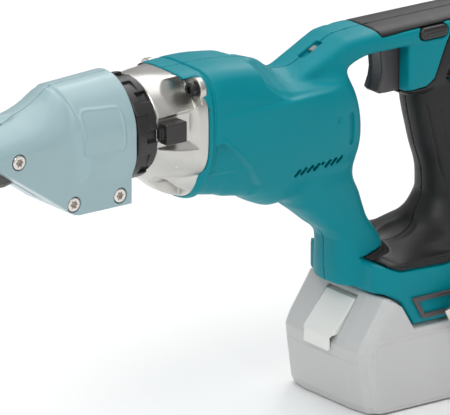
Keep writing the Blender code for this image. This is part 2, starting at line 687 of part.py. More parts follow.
def tilted_box(centre, size, angle):
    """A box turned by angle in the side view."""
    low = [c - s / 2 for c, s in zip(centre, size)]
    high = [c + s / 2 for c, s in zip(centre, size)]
    shape = box(low, high)
    middle = at(*centre)
    turn = Matrix.Translation(middle) @ Matrix.Rotation(angle, 4, 'Y') @ Matrix.Translation(-middle)
    shape.data.transform(turn)
    return shape


def oval(x, z, half_long, half_high, steps=6):
    """A level slot outline with round ends."""
    outline = []
    straight = half_long - half_high
    for side in (1, -1):
        for i in range(steps + 1):
            angle = side * pi / 2 - pi * i / steps
            outline.append((x + side * straight + half_high * cos(angle), z + half_high * sin(angle)))
    return outline


def make_housing_screws():
    for number, (x, z) in enumerate(RIGHT_SCREWS, 1):
        screw = rod('y', 10.8, 14.0, 3.6, (x, z), 16)
        join(screw, rod('y', -13.5, 11.0, 1.8, (x, z), 12))
        finish(screw, "housing_screw_%d" % number, "black_steel")
    for x, z in LEFT_SCREWS:
        screw = rod('y', -14.0, -10.8, 3.6, (x, z), 16)
        join(screw, rod('y', -11.0, 13.5, 1.8, (x, z), 12))
        finish(screw, "grip_screw", "black_steel")


# ---- controls and electrics ----
def make_controls():
    outline = [(157.6, 12.0), (158.4, 4.0), (158.2, -3.0), (157.0, -8.0), (158.2, -11.6),
               (163.0, -12.8), (176.5, -12.8), (176.5, 12.4), (158.5, 12.4)]
    trigger = slab(outline, -6.5, 6.5)
    finish(trigger, "trigger", "grey_plastic")
    unit = box((183.0, -9.0, -9.0), (193.0, 9.0, 13.5))
    finish(unit, "switch_unit", "black_plastic")
    lock_off = slab(oval(185.0, 19.0, 9.5, 4.0), -19.2, 17.0)
    finish(lock_off, "lock_off_button", "black_plastic")
    lens = tilted_box((119.4, 0, 17.8), (5.0, 5.8, 2.0), LAMP_TILT)
    finish(lens, "lamp_lens", "lens")
    controller = box((170.0, -24.0, -110.0), (226.0, 24.0, -103.5))
    finish(controller, "motor_controller", "black_plastic")
    terminal = box((192.0, -13.0, -124.0), (228.0, 13.0, -113.3))
    finish(terminal, "terminal_block", "black_plastic")


def make_trim():
    outer = [(156.4, -116.4), (163.4, -129.0), (208.0, -129.0), (208.0, -116.4)]
    inner = [(160.6, -119.0), (165.0, -126.4), (205.4, -126.4), (205.4, -119.0)]
    for side, name in ((-1, "left"), (1, "right")):
        low, high = sorted((side * 35.8, side * 37.2))
        frame = slab(outer, low, high)
        cut(frame, slab(inner, low - 1, high + 1))
        finish(frame, "foot_bumper_" + name, "grey_plastic")


HOOK_PATH = [              # along the strip and across the tool
    (12.0, -38.0), (-9.0, -38.0), (-15.0, -45.6), (-52.0, -45.6), (-55.0, -42.8), (-56.8, -44.4),
    (-53.0, -48.0), (-13.8, -48.0), (-7.6, -40.3), (12.0, -40.3),
]
HOOK_SPACER = 35.8         # the strip's foot rests on the housing's side through a raised pad


def make_hook():
    """A bent strip, screwed to the foot's left side and standing off it to make a hook."""
    x, z = HOOK_ANCHOR

    def build(bm):
        corners = [bm.verts.new(at(x + along, y, z - HOOK_HALF)) for along, y in HOOK_PATH]
        thicken(bm, corners, (0, 0, 2 * HOOK_HALF * MM))
    hook = rough_shape(build)
    join(hook, box((x - 8.0, -38.5, z - 8.0), (x + 11.0, -HOOK_SPACER, z + 8.0)))
    middle = at(x, 0, z)
    turn = Matrix.Translation(middle) @ Matrix.Rotation(HOOK_TILT, 4, 'Y')
    hook.data.transform(turn @ Matrix.Translation(-middle))
    cut(hook, rod('y', -45, -30, 2.4, HOOK_SCREW, 12))
    finish(hook, "hanging_hook", "bright_steel")
    screw = rod('y', -43.2, -40.6, 4.0, HOOK_SCREW, 16)
    join(screw, rod('y', -41.0, -32.2, 1.8, HOOK_SCREW, 12))
    finish(screw, "hook_screw", "black_steel")


# ---- battery ----
BATTERY_OUTLINE = [
    (130.4, BATTERY_BASE), (BATTERY_REAR, BATTERY_BASE), (BATTERY_REAR, -132.6),
    (158.4, -132.6), (150.4, -119.1), (145.7, -115.8), (140.4, -114.4), (136.4, -121.0),
    (130.6, -129.6), (125.6, -137.0), (123.2, -142.0), (124.0, -150.0), (125.6, -166.0),
    (127.2, -173.0),
]
BUTTON_TRAVEL = 3.5


def make_battery():
    body = slab(BATTERY_OUTLINE, -BATTERY_HALF, BATTERY_HALF)
    plan = [level_section(z, 122.0, BATTERY_REAR, BATTERY_HALF, 9.0) for z in (-178.0, -112.0)]
    common(body, loft(plan))
    join(body, box((150.0, -30.4, -134.0), (249.5, 30.4, -113.6)))
    cut(body, box((178.0, -14.5, -126.5), (256.0, 14.5, -110.0)))
    button_pocket = [(133.0, -117.6), (142.4, -117.6), (142.4, -124.4), (131.4, -141.3),
                     (118.0, -141.3), (118.0, -120.0)]
    cut(body, slab(button_pocket, -12.9, 12.9))
    seam = [(100.0, -148.0), (136.0, -148.0), (136.0, SEAM_Z), (270.0, SEAM_Z), (270.0, -90.0),
            (100.0, -90.0)]
    tub = copy_of(body)
    lower_seam = [(x + GAP if x == 136.0 else x, z - GAP if z in (-148.0, SEAM_Z) else z)
                  for x, z in seam]
    cut(tub, slab(lower_seam, -50, 50))
    cut(tub, box((139.0, -34.0, -174.0), (246.0, 34.0, -100.0)))
    finish(tub, "battery_case", "pale_plastic")
    common(body, slab(seam, -50, 50))
    cut(body, box((144.5, -27.5, -150.0), (246.0, 27.5, -129.5)))
    finish(body, "battery_cover", "pale_plastic")
    outline = [(137.4, -119.4), (121.4, -138.2), (121.0, -145.4), (122.9, -145.4),
               (122.6, -137.2), (129.4, -137.2), (141.4, -122.4), (141.4, -119.4)]
    finish(slab(outline, -12.5, 12.5), "battery_release_button", "white_plastic")
    make_cells()


def make_cells():
    holder = box((142.0, -1.5, -171.0), (243.0, 1.5, -140.0))
    for column in range(5):
        for z in (-164.6, -146.8):
            x = 152.5 + 20.0 * column
            join(holder, rod('y', -32.5, 32.5, 8.6, (x, z), 12))
    finish(holder, "cell_pack", "cell_wrap")


clear_scene()
make_head()
make_blades()
make_ring()
make_gear_housing()
make_bulkhead()
make_crank()
make_gears()
make_motor()
make_corner_screws()
make_lock()
make_housing()
make_housing_screws()
make_controls()
make_trim()
make_hook()
make_battery()
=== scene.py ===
"""The looks of a cordless board shear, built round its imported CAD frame.

Every moulded or cast skin is described by a signed distance in millimetres and meshed where it is zero.
Lengths along the tool (x) count back from the head's swivel, y is to its right and z up from the head's axis.
"""
import json
from math import asin, cos, pi, radians, sin

import bpy
import numpy as np
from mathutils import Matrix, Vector


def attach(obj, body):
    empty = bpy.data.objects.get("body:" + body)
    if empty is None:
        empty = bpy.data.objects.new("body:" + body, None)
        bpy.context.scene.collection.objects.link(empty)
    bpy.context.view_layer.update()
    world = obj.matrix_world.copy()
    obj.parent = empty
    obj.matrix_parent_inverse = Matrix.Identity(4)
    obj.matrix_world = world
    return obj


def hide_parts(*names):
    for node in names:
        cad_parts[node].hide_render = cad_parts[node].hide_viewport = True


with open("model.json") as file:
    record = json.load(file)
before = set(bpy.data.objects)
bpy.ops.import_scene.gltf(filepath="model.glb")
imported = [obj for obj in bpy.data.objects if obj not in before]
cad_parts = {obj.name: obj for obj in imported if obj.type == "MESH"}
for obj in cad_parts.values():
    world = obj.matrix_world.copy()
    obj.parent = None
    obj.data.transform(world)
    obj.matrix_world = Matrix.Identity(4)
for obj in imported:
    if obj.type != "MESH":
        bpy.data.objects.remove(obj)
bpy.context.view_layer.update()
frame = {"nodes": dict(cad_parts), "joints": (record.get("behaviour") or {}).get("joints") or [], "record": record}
SWIVEL = next(joint for joint in frame["joints"] if joint["name"] == "head_swivel")["pos_m"]
MM = 0.001
BLOCK = 8                 # samples along the side of one block of a field's grid
DETAIL = 1.0


def place(x, y, z):
    """A point of the tool, in millimetres, in the frame's metres."""
    return Vector((SWIVEL[0] + x * MM, y * MM, SWIVEL[2] + z * MM))


# ---- distances: everything here works on arrays of millimetres ----
def smooth_min(a, b, k):
    share = np.clip(0.5 + 0.5 * (b - a) / k, 0, 1)
    return b + (a - b) * share - k * share * (1 - share)


def smooth_max(a, b, k):
    return -smooth_min(-a, -b, k)


def step(value, low, high):
    """0 below low, 1 above high, and smooth between."""
    t = np.clip((value - low) / (high - low), 0, 1)
    return t * t * (3 - 2 * t)


def follow(value, points):
    """A straight-line graph through points, read at value."""
    xs, ys = zip(*points)
    return np.interp(value, xs, ys)


def smooth_rows(rows, at):
    """The columns of rows at each place in at, by a cubic that doesn't overshoot."""
    rows = np.array(rows, float)
    knots = rows[:, 0]
    i = np.clip(np.searchsorted(knots, at) - 1, 0, len(knots) - 2)
    width = knots[i + 1] - knots[i]
    t = (at - knots[i]) / width
    columns = []
    for column in rows.T[1:]:
        slope = np.diff(column) / np.diff(knots)
        tangent = np.empty(len(knots))
        tangent[0], tangent[-1] = slope[0], slope[-1]
        product = slope[1:] * slope[:-1]
        total = slope[1:] + slope[:-1]
        total[total == 0] = 1
        tangent[1:-1] = np.where(product > 0, 2 * product / total, 0)
        columns.append((1 + 2 * t) * (1 - t) ** 2 * column[i] + t * (1 - t) ** 2 * width * tangent[i]
                       + t * t * (3 - 2 * t) * column[i + 1] + t * t * (t - 1) * width * tangent[i + 1])
    return columns


class Loft:
    """A body whose rounded sections change along its own length.

    Its sections are kept as a radius for each millimetre of length and each angle.
    """

    ANGLES = 181

    def __init__(self, start, end, middle, radius):
        self.start, self.end = start, end
        self.length = np.arange(np.floor(start), np.ceil(end) + 1)
        self.middle = middle(np.clip(self.length, start, end))
        self.radius = radius(np.clip(self.length, start, end))
        turn = np.gradient(self.radius, pi / (self.ANGLES - 1), axis=1) / self.radius
        lean = np.gradient(self.radius, axis=0) if len(self.length) > 1 else 0
        self.slant = 1 / np.sqrt(1 + turn ** 2 + np.clip(lean, -3, 3) ** 2)

    def distance(self, along, first, second, blend=1.5):
        """first is measured from the middle line, second across it and symmetric."""
        where = np.clip(along, self.start, self.end) - self.length[0]
        middle = np.interp(where, np.arange(len(self.length)), self.middle)
        first = first - middle
        second = np.abs(second)
        angle = np.arctan2(second, first) / pi * (self.ANGLES - 1)
        i = np.minimum(where.astype(int), len(self.length) - 2)
        j = np.minimum(angle.astype(int), self.ANGLES - 2)
        u, v = where - i, angle - j

        def read(table):
            low = table[i, j] * (1 - v) + table[i, j + 1] * v
            return low * (1 - u) + (table[i + 1, j] * (1 - v) + table[i + 1, j + 1] * v) * u
        side = (np.hypot(first, second) - read(self.radius)) * read(self.slant)
        return smooth_max(side, np.maximum(self.start - along, along - self.end), blend)


def upright_loft(rows):
    """Rows of x, top, widest height, bottom, half width, upper and lower squareness."""
    def middle(x):
        return smooth_rows(rows, x)[1]

    def radius(x):
        top, widest, bottom, half, upper, lower = smooth_rows(rows, x)
        angle = np.linspace(0, pi, Loft.ANGLES)[None, :]
        up, out = np.cos(angle), np.sin(angle)
        high = up >= 0
        reach = np.where(high, (top - widest)[:, None], (widest - bottom)[:, None])
        power = np.where(high, upper[:, None], lower[:, None])
        return (np.abs(up / reach) ** power + np.abs(out / half[:, None]) ** power) ** (-1 / power)
    loft = Loft(rows[0][0], rows[-1][0], middle, radius)
    return lambda x, y, z: loft.distance(x, z, y)


def level_loft(rows):
    """Rows of height, front, rear, half width and squareness."""
    def middle(z):
        front, rear = smooth_rows(rows, z)[:2]
        return (front + rear) / 2

    def radius(z):
        front, rear, half, shape = smooth_rows(rows, z)
        angle = np.linspace(0, pi, Loft.ANGLES)[None, :]
        depth = ((rear - front) / 2)[:, None]
        power = shape[:, None]
        return (np.abs(np.cos(angle) / depth) ** power
                + np.abs(np.sin(angle) / half[:, None]) ** power) ** (-1 / power)
    loft = Loft(rows[0][0], rows[-1][0], middle, radius)
    return lambda x, y, z: loft.distance(z, x, y)


def outline(points, u, v):
    """Distance to a flat outline in its own plane."""
    nearest = np.full(u.shape, 1e9)
    inside = np.zeros(u.shape, bool)
    for (u0, v0), (u1, v1) in zip(points, points[1:] + points[:1]):
        du, dv = u1 - u0, v1 - v0
        t = np.clip(((u - u0) * du + (v - v0) * dv) / (du * du + dv * dv), 0, 1)
        nearest = np.minimum(nearest, (u - u0 - t * du) ** 2 + (v - v0 - t * dv) ** 2)
        if dv:
            crosses = (v0 > v) != (v1 > v)
            inside ^= crosses & (u < u0 + (v - v0) * du / dv)
    return np.where(inside, -1, 1) * np.sqrt(nearest)


def block(x, y, z, low, high, corner=0.5):
    """A box with rounded edges."""
    away = [np.abs(v - (a + b) / 2) - (b - a) / 2 + corner for v, a, b in zip((x, y, z), low, high)]
    outside = np.sqrt(sum(np.maximum(a, 0) ** 2 for a in away))
    return outside + np.minimum(np.maximum.reduce(away), 0) - corner


def rod_x(x, y, z, start, end, radius, centre=(0, 0), blend=0.4):
    side = np.hypot(y - centre[0], z - centre[1]) - radius
    return smooth_max(side, np.maximum(start - x, x - end), blend)


def rod_y(x, y, z, start, end, radius, centre, blend=0.4):
    side = np.hypot(x - centre[0], z - centre[1]) - radius
    return smooth_max(side, np.maximum(start - y, y - end), blend)


def plane(a, b, corner, angle):
    """Distance past a slope through corner in the (a, b) plane; angle 0 faces +a, 90 degrees +b."""
    return (a - corner[0]) * cos(angle) + (b - corner[1]) * sin(angle)


def rounded(points, u, v, radius):
    """An outline with all its corners rounded."""
    return outline(points, u, v) - radius


def ball(x, y, z, centre, radii):
    """Roughly the distance to an egg shape."""
    reach = np.sqrt(sum(((v - c) / r) ** 2 for v, c, r in zip((x, y, z), centre, radii)))
    return (reach - 1) * min(radii)


def turned(x, z, centre, angle):
    """x and z round a centre, turned back by angle, so that a slanted shape reads level."""
    dx, dz = x - centre[0], z - centre[1]
    return dx * cos(angle) + dz * sin(angle), dz * cos(angle) - dx * sin(angle)


# ---- from a distance to a mesh ----
def sampled(field, low, high, pitch):
    """The field on a grid, worked out finely only in blocks near its surface."""
    blocks = np.ceil((np.array(high) - low) / pitch / BLOCK).astype(int)
    corner = np.indices(blocks).reshape(3, -1).T * BLOCK
    centres = low + (corner + (BLOCK - 1) / 2) * pitch
    coarse = field(*centres.T)
    reach = BLOCK * pitch * 1.4
    grid = np.empty(blocks * BLOCK, np.float32)
    shaped = grid.reshape(blocks[0], BLOCK, blocks[1], BLOCK, blocks[2], BLOCK)
    shaped[:] = coarse.reshape(blocks)[:, None, :, None, :, None]
    near = corner[np.abs(coarse) < reach]
    inner = np.indices((BLOCK,) * 3).reshape(3, -1).T
    for some in np.array_split(near, max(1, len(near) // 1500)):
        index = (some[:, None] + inner[None]).reshape(-1, 3)
        grid[tuple(index.T)] = field(*(low + index * pitch).T)
    return grid


def cell_points(values, corners):
    """Where the surface lies in each cell: the mean of its crossings of the cell's edges."""
    total = np.zeros((len(values), 3))
    hits = np.zeros(len(values))
    for a in range(8):
        for b in range(a + 1, 8):
            if abs(corners[a] - corners[b]).sum() != 1:
                continue
            cross = (values[:, a] < 0) != (values[:, b] < 0)
            t = values[cross, a] / (values[cross, a] - values[cross, b])
            total[cross] += corners[a] + t[:, None] * (corners[b] - corners[a])
            hits[cross] += 1
    return total / hits[:, None]


def cell_faces(inside, number):
    """A face for each edge of the grid that crosses the surface, facing out."""
    size = inside.shape
    faces = []
    for axis in range(3):
        u, v = (axis + 1) % 3, (axis + 2) % 3
        near = inside.take(np.arange(size[axis] - 1), axis)
        far = inside.take(np.arange(1, size[axis]), axis)
        edge = np.argwhere(near != far)
        edge = edge[(edge[:, u] > 0) & (edge[:, v] > 0)]
        edge = edge[(edge[:, u] < size[u] - 1) & (edge[:, v] < size[v] - 1)]
        ring = []
        for du, dv in ((1, 1), (0, 1), (0, 0), (1, 0)):
            cell = edge.copy()
            cell[:, u] -= du
            cell[:, v] -= dv
            ring.append(number[tuple(cell.T)])
        quad = np.stack(ring, 1)
        flip = ~near[tuple(edge.T)]
        quad[flip] = quad[flip][:, ::-1]
        faces.append(quad)
    return np.concatenate(faces)


def surface_net(grid, low, pitch):
    """Vertices, normals and four-sided faces of the surface where grid is zero."""
    inside = grid < 0
    size = np.array(grid.shape)
    corners = np.indices((2, 2, 2)).reshape(3, -1).T
    count = sum(inside[i:size[0] - 1 + i, j:size[1] - 1 + j, k:size[2] - 1 + k].astype(np.uint8)
                for i, j, k in corners)
    cells = np.argwhere((count > 0) & (count < 8))
    number = np.full(size - 1, -1)
    number[tuple(cells.T)] = np.arange(len(cells))
    values = np.stack([grid[tuple((cells + c).T)] for c in corners], 1).astype(float)
    points = low + (cells + cell_points(values, corners)) * pitch
    normals = values @ (corners * 2.0 - 1)
    normals /= np.linalg.norm(normals, axis=1)[:, None] + 1e-9
    return points, normals, cell_faces(inside, number)


def piece(name, field, low, high, pitch, material, body, nodes):
    """Mesh a field, give it its material and let it stand for its CAD nodes."""
    low, high = np.array(low, float), np.array(high, float)
    pitch = pitch * DETAIL
    grid = sampled(field, low, high, pitch)
    points, normals, faces = surface_net(grid, low, pitch)
    mesh = bpy.data.meshes.new(name)
    mesh.vertices.add(len(points))
    world = points * MM + np.array((SWIVEL[0], 0, SWIVEL[2]))
    mesh.vertices.foreach_set("co", world.ravel())
    mesh.loops.add(faces.size)
    mesh.loops.foreach_set("vertex_index", faces.ravel().astype(np.int32))
    mesh.polygons.add(len(faces))
    mesh.polygons.foreach_set("loop_start", np.arange(0, faces.size, 4, dtype=np.int32))
    mesh.update()
    mesh.validate()
    mesh.shade_smooth()
    mesh.normals_split_custom_set_from_vertices(normals)
    mesh.materials.append(material)
    shown = bpy.data.objects.new(name, mesh)
    bpy.context.scene.collection.objects.link(shown)
    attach(shown, body)
    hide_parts(*nodes)
    return shown


# ---- materials ----
WEAR_AND_HIGHLIGHT_STARTS, WEAR_AND_HIGHLIGHT_FULL = 0.53, 0.62      # how sharp an edge is where its brightening (partly wear, partly a painted highlight) begins and where it is full
ROUGHNESS_SWING = 0.06
GRAIN_HEIGHT = 0.0002


def noise_node(nodes, links, vector, size, detail):
    node = nodes.new("ShaderNodeTexNoise")
    node.inputs["Scale"].default_value = size
    node.inputs["Detail"].default_value = detail
    links.new(vector, node.inputs["Vector"])
    return node.outputs["Fac"]


def clouded(nodes, links, cloud, colour, variation):
    """The colour, a little darker and lighter in soft patches."""
    shade = nodes.new("ShaderNodeValToRGB")
    dark, light = shade.color_ramp.elements
    dark.position, light.position = 0.3, 0.7
    dark.color = (*[c * (1 - variation) for c in colour], 1)
    light.color = (*[min(1, c * (1 + variation)) for c in colour], 1)
    links.new(cloud, shade.inputs["Fac"])
    return shade.outputs["Color"]


def edge_wear_and_highlight(nodes, links, colour_out, colour, wear_and_highlight):
    """Outside edges painted brighter: partly wear, partly a painted highlight."""
    # pointiness lifts the colour on convex edges: partly wear, partly a painted highlight
    geometry = nodes.new("ShaderNodeNewGeometry")
    sharp = nodes.new("ShaderNodeMapRange")
    sharp.inputs["From Min"].default_value = WEAR_AND_HIGHLIGHT_STARTS
    sharp.inputs["From Max"].default_value = WEAR_AND_HIGHLIGHT_FULL
    sharp.inputs["To Max"].default_value = wear_and_highlight
    links.new(geometry.outputs["Pointiness"], sharp.inputs["Value"])
    mix = nodes.new("ShaderNodeMix")
    mix.data_type = 'RGBA'
    links.new(sharp.outputs["Result"], mix.inputs["Factor"])
    links.new(colour_out, mix.inputs["A"])
    mix.inputs["B"].default_value = (*[min(1, c * 1.5 + 0.08) for c in colour], 1)
    return mix.outputs["Result"]


def material(name, colour, roughness, metallic=0.0, variation=0.06, patch=40.0, grain=1500.0,
             bump=0.1, wear_and_highlight=0.0, coat=0.0, specular=0.5, stretch=(1, 1, 1)):
    """A moulded, cast or ground surface: cloudy colour, fine grain, and edges painted brighter, partly as wear and
    partly as a painted highlight.
    """
    result = bpy.data.materials.new(name)
    result.use_nodes = True
    nodes, links = result.node_tree.nodes, result.node_tree.links
    shader = nodes["Principled BSDF"]
    shader.inputs["Metallic"].default_value = metallic
    shader.inputs["Coat Weight"].default_value = coat
    shader.inputs["Coat Roughness"].default_value = 0.15
    shader.inputs["Specular IOR Level"].default_value = specular
    where = nodes.new("ShaderNodeTexCoord")
    scale = nodes.new("ShaderNodeMapping")
    scale.inputs["Scale"].default_value = stretch
    links.new(where.outputs["Object"], scale.inputs["Vector"])
    vector = scale.outputs["Vector"]
    colour_out = clouded(nodes, links, noise_node(nodes, links, vector, patch, 4), colour, variation)
    # edges are painted brighter here, partly as wear and partly as a painted highlight
    if wear_and_highlight:
        colour_out = edge_wear_and_highlight(nodes, links, colour_out, colour, wear_and_highlight)
    links.new(colour_out, shader.inputs["Base Color"])
    rough = nodes.new("ShaderNodeMapRange")
    rough.inputs["To Min"].default_value = roughness - ROUGHNESS_SWING
    rough.inputs["To Max"].default_value = roughness + ROUGHNESS_SWING
    links.new(noise_node(nodes, links, vector, patch * 6, 3), rough.inputs["Value"])
    links.new(rough.outputs["Result"], shader.inputs["Roughness"])
    relief = nodes.new("ShaderNodeBump")
    relief.inputs["Strength"].default_value = bump
    relief.inputs["Distance"].default_value = GRAIN_HEIGHT
    links.new(noise_node(nodes, links, vector, grain, 2), relief.inputs["Height"])
    links.new(relief.outputs["Normal"], shader.inputs["Normal"])
    return result


# the value after the bump strength paints edges brighter: partly wear, partly a painted highlight
LOOKS = {
    "head_paint": material("head_paint", (0.33, 0.475, 0.505), 0.36, 0.0, 0.03, 30, 1800, 0.10, 0.12, 0.25),
    "cast_alloy": material("cast_alloy", (0.60, 0.59, 0.56), 0.30, 0.92, 0.06, 60, 2200, 0.15, 0.5),
    "tool_steel": material("tool_steel", (0.12, 0.115, 0.11), 0.34, 0.85, 0.15, 80, 900, 0.25, 0.4,
                           stretch=(1, 1, 8)),
    "bright_steel": material("bright_steel", (0.74, 0.70, 0.66), 0.22, 1.0, 0.06, 90, 1200, 0.12, 0.2,
                             stretch=(1, 6, 1)),
    "black_steel": material("black_steel", (0.03, 0.03, 0.03), 0.30, 0.5, 0.2, 90, 1500, 0.2, 0.4),
    "black_plastic": material("black_plastic", (0.022, 0.021, 0.022), 0.36, 0, 0.12, 50, 2200, 0.2, 0.35),
    "lock_finish": material("lock_finish", (0.035, 0.033, 0.032), 0.30, 0.3, 0.12, 50, 1800, 0.15, 0.8),
    "teal_plastic": material("teal_plastic", (0.0, 0.245, 0.295), 0.42, 0, 0.03, 25, 2400, 0.07, 0.04,
                             specular=0.16),
    "rubber": material("rubber", (0.014, 0.0136, 0.0136), 0.46, 0, 0.15, 45, 1600, 0.22, 0.10, specular=0.36),
    "grey_plastic": material("grey_plastic", (0.075, 0.066, 0.070), 0.42, 0, 0.08, 50, 2200, 0.25, 0.35),
    "pale_plastic": material("pale_plastic", (0.60, 0.60, 0.60), 0.40, 0, 0.015, 25, 2400, 0.06, 0.35, 0.1),
    "white_plastic": material("white_plastic", (0.86, 0.86, 0.83), 0.4, 0, 0.012, 25, 2400, 0.06),
    "lamination": material("lamination", (0.25, 0.25, 0.27), 0.5, 0.9, 0.2, 60, 900, 0.6, stretch=(9, 1, 1)),
    "copper": material("copper", (0.62, 0.27, 0.12), 0.35, 1.0, 0.2, 120, 700, 0.9, stretch=(1, 3, 3)),
    "lens": material("lens", (0.10, 0.12, 0.12), 0.10, 0, 0.03, 60, 900, 0.2, 0.0, 0.6),
    "board": material("board", (0.01, 0.12, 0.05), 0.45, 0, 0.4, 300, 900, 0.3),
    "cell_wrap": material("cell_wrap", (0.05, 0.25, 0.22), 0.35, 0, 0.1, 60, 900, 0.1),
}


def dress_cad_nodes():
    """Every CAD node keeps its shape here and takes its slot's material."""
    slots = {part["node"]: part["material_slot"] for part in frame["record"]["subparts"]}
    for name, node in frame["nodes"].items():
        node.data.materials.clear()
        node.data.materials.append(LOOKS[slots[name]])


dress_cad_nodes()

# ---- cutting head ----
HEAD_REAR = -13.0
HEAD_BARREL = [(-52, 30.2, 25.0), (-12, 32.0, 25.6)]
HEAD_NOSE = [(-108, 10.5, 15.0), (-105, 12.0, 18.0), (-95, 14.5, 20.5), (-78, 17.9, 21.8),
             (-70, 19.3, 22.0), (-63, 22.0, 22.0), (-58, 24.9, 22.0), (-54.5, 27.6, 22.0),
             (-51.5, 29.4, 22.0), (-12, 29.4, 22.0)]
HEAD_OUTLINE = [(HEAD_REAR, -35.0), (-46.0, -35.0), (-49.5, -34.2), (-52.0, -32.2), (-96.5, -1.2),
                (-104.0, 4.0), (-107.5, 7.5), (-109.0, 40.0), (HEAD_REAR, 40.0)]
BARREL_FRONT = [(-49.6, 40.0), (-49.6, 31.5), (-48.6, 26.5), (-46.6, 18.5), (-44.5, 10.0), (-43.2, 0.0),
                (-42.0, -14.5), (HEAD_REAR + 3, -14.5), (HEAD_REAR + 3, 40.0)]
BLADE_SLOT = [(-44.0, 19.0), (-54.0, 15.0), (-64.0, 11.5), (-80.0, 9.8), (-112.0, 9.8),
              (-112.0, -45.0), (-56.0, -45.0), (-56.0, -24.0), (-44.0, -19.0)]
BLADE_FACE, SIDE_BLADE_INNER, SIDE_BLADE_OUTER = 3.0, 3.45, 8.0
SIDE_BLADE = [(-111.5, 9.0), (-113.0, 5.0), (-92.0, -3.4), (-76.0, -7.0), (-70.0, -4.0), (-70.0, 8.0),
              (-74.0, 9.0)]
CENTRE_BLADE = [
    (-24.0, 11.5), (-24.0, 15.6), (-45.0, 15.6), (-55.0, 11.0), (-66.0, 8.4), (-82.0, 7.4),
    (-89.0, 3.5), (-91.5, -4.6), (-107.5, -5.6), (-108.8, -7.6), (-104.0, -12.2),
    (-96.0, -16.2), (-88.0, -18.4), (-79.0, -18.8), (-72.0, -17.2), (-64.0, -13.6),
    (-54.0, -14.2), (-45.0, -15.6), (-24.0, -15.6), (-24.0, -11.5), (-41.0, -11.5),
    (-41.0, 11.5)]
HEAD_SCREWS = {"pivot": (-83.4, 0.5), "lower_front": (-49.4, -28.5), "lower_rear": (-20.4, -29.3)}
HEAD_PAD = [(-41.5, 0.0), (-24.0, 0.0), (-24.0, 15.8), (-42.0, 17.2)]
PAD_CORNER = 3.2
CROWN_BASE = 3.0
SCREW_R = 3.9
HALF_SEAM = 0.08          # each half of a split casting or moulding stops this far from the middle


def vault(y, z, crown, half):
    """A round roof above CROWN_BASE on upright walls."""
    side = np.abs(y)
    rise = np.maximum(z - CROWN_BASE, 0)
    share = np.hypot(side / half, rise / (crown - CROWN_BASE))
    slope = np.hypot(side / half ** 2, rise / (crown - CROWN_BASE) ** 2) / np.maximum(share, 1e-3)
    dome = (share - 1) / np.maximum(slope, 1e-3)
    return np.where(z > CROWN_BASE, dome, side - half)


def head_casting(x, y, z):
    """A round barrel that runs out on a slant into a narrower nose."""
    crown, half = smooth_rows(HEAD_NOSE, np.clip(x, -108, -12))
    nose = vault(y, z, crown, half) * 0.93
    barrel_crown, barrel_half = smooth_rows(HEAD_BARREL, np.clip(x, -52, -12))
    barrel = smooth_max(vault(y, z, barrel_crown, barrel_half), outline(BARREL_FRONT, x, z), 1.3)
    barrel = smooth_max(barrel, 0.6 * (-12.0 - z) + 0.8 * (np.abs(y) - 24.6), 2.5)
    softness = 2.0 + 7.0 * step(-z, -26, -8)
    return smooth_max(smooth_min(nose, barrel, softness), outline(HEAD_OUTLINE, x, z), 1.1)


def head_skin(x, y, z):
    d = head_casting(x, y, z)
    pad = rounded(HEAD_PAD, x, z, PAD_CORNER)
    rim = np.exp(-((pad - 0.1) / 0.55) ** 2) * 0.60 + 0.15 * step(-pad, -0.2, 0.6)
    d = d - rim * (np.abs(y) > 8)
    d = smooth_max(d, -rod_x(x, y, z, -46.5, 0, 20.6), 0.5)
    d = smooth_max(d, -smooth_max(outline(BLADE_SLOT, x, z), np.abs(y) - 3.4, 0.3), 0.6)
    d = smooth_max(d, -ball(x, y, z, (-88.0, 0, 20.5), (16.0, 7.2, 6.0)), 1.0)
    chip = smooth_max(np.hypot(np.maximum(np.abs(x + 96) - 12.5, 0), y) - 3.5, 5 - z, 0.3)
    d = smooth_max(d, -chip, 0.7)
    pocket = smooth_max(outline(SIDE_BLADE, x, z) - 0.4, np.abs(y) - 8.3, 0.2)
    d = smooth_max(d, -pocket, 0.4)
    for centre in HEAD_SCREWS.values():
        d = smooth_max(d, -rod_y(x, y, z, -40, -16.8, SCREW_R + 0.35, centre), 0.4)
    return d


def halves(name, field, low, high, pitch, look, body, nodes):
    """A left and a right piece, parted on the middle plane."""
    def left(x, y, z):
        return smooth_max(field(x, y, z), y + HALF_SEAM, 0.2)

    def right(x, y, z):
        return smooth_max(field(x, y, z), HALF_SEAM - y, 0.2)
    left_high, right_low = list(high), list(low)
    left_high[1], right_low[1] = 2.0, -2.0
    piece(name + "_left", left, low, left_high, pitch, LOOKS[look], body, [nodes[0]])
    piece(name + "_right", right, right_low, high, pitch, LOOKS[look], body, [nodes[1]])


halves("head_casting", head_skin, (-111, -28, -38), (-10, 28, 34), 0.55, "head_paint", "head",
       ("head_left_half", "head_right_half"))


def socket_screw(name, centre, node, body):
    """A bright cap with a rounded rim and a six-lobed recess."""
    def field(x, y, z):
        away = np.hypot(x - centre[0], z - centre[1])
        d = rod_y(x, y, z, -21.5, -17.1, SCREW_R, centre, 0.9)
        d = smooth_min(d, rod_y(x, y, z, -17.5, -15.0, 2.5, centre), 0.3)
        angle = np.arctan2(z - centre[1], x - centre[0])
        lobes = away - 1.85 - 0.3 * np.cos(6 * angle)
        recess = np.maximum(lobes, y + 18.6)
        return smooth_max(d, -recess, 0.3)
    low = (centre[0] - 6, -23, centre[1] - 6)
    high = (centre[0] + 6, -13.5, centre[1] + 6)
    piece(name, field, low, high, 0.2, LOOKS["bright_steel"], body, [node])


for label, centre in HEAD_SCREWS.items():
    socket_screw("socket_screw_" + label, centre, "head_screw_" + label, "head")


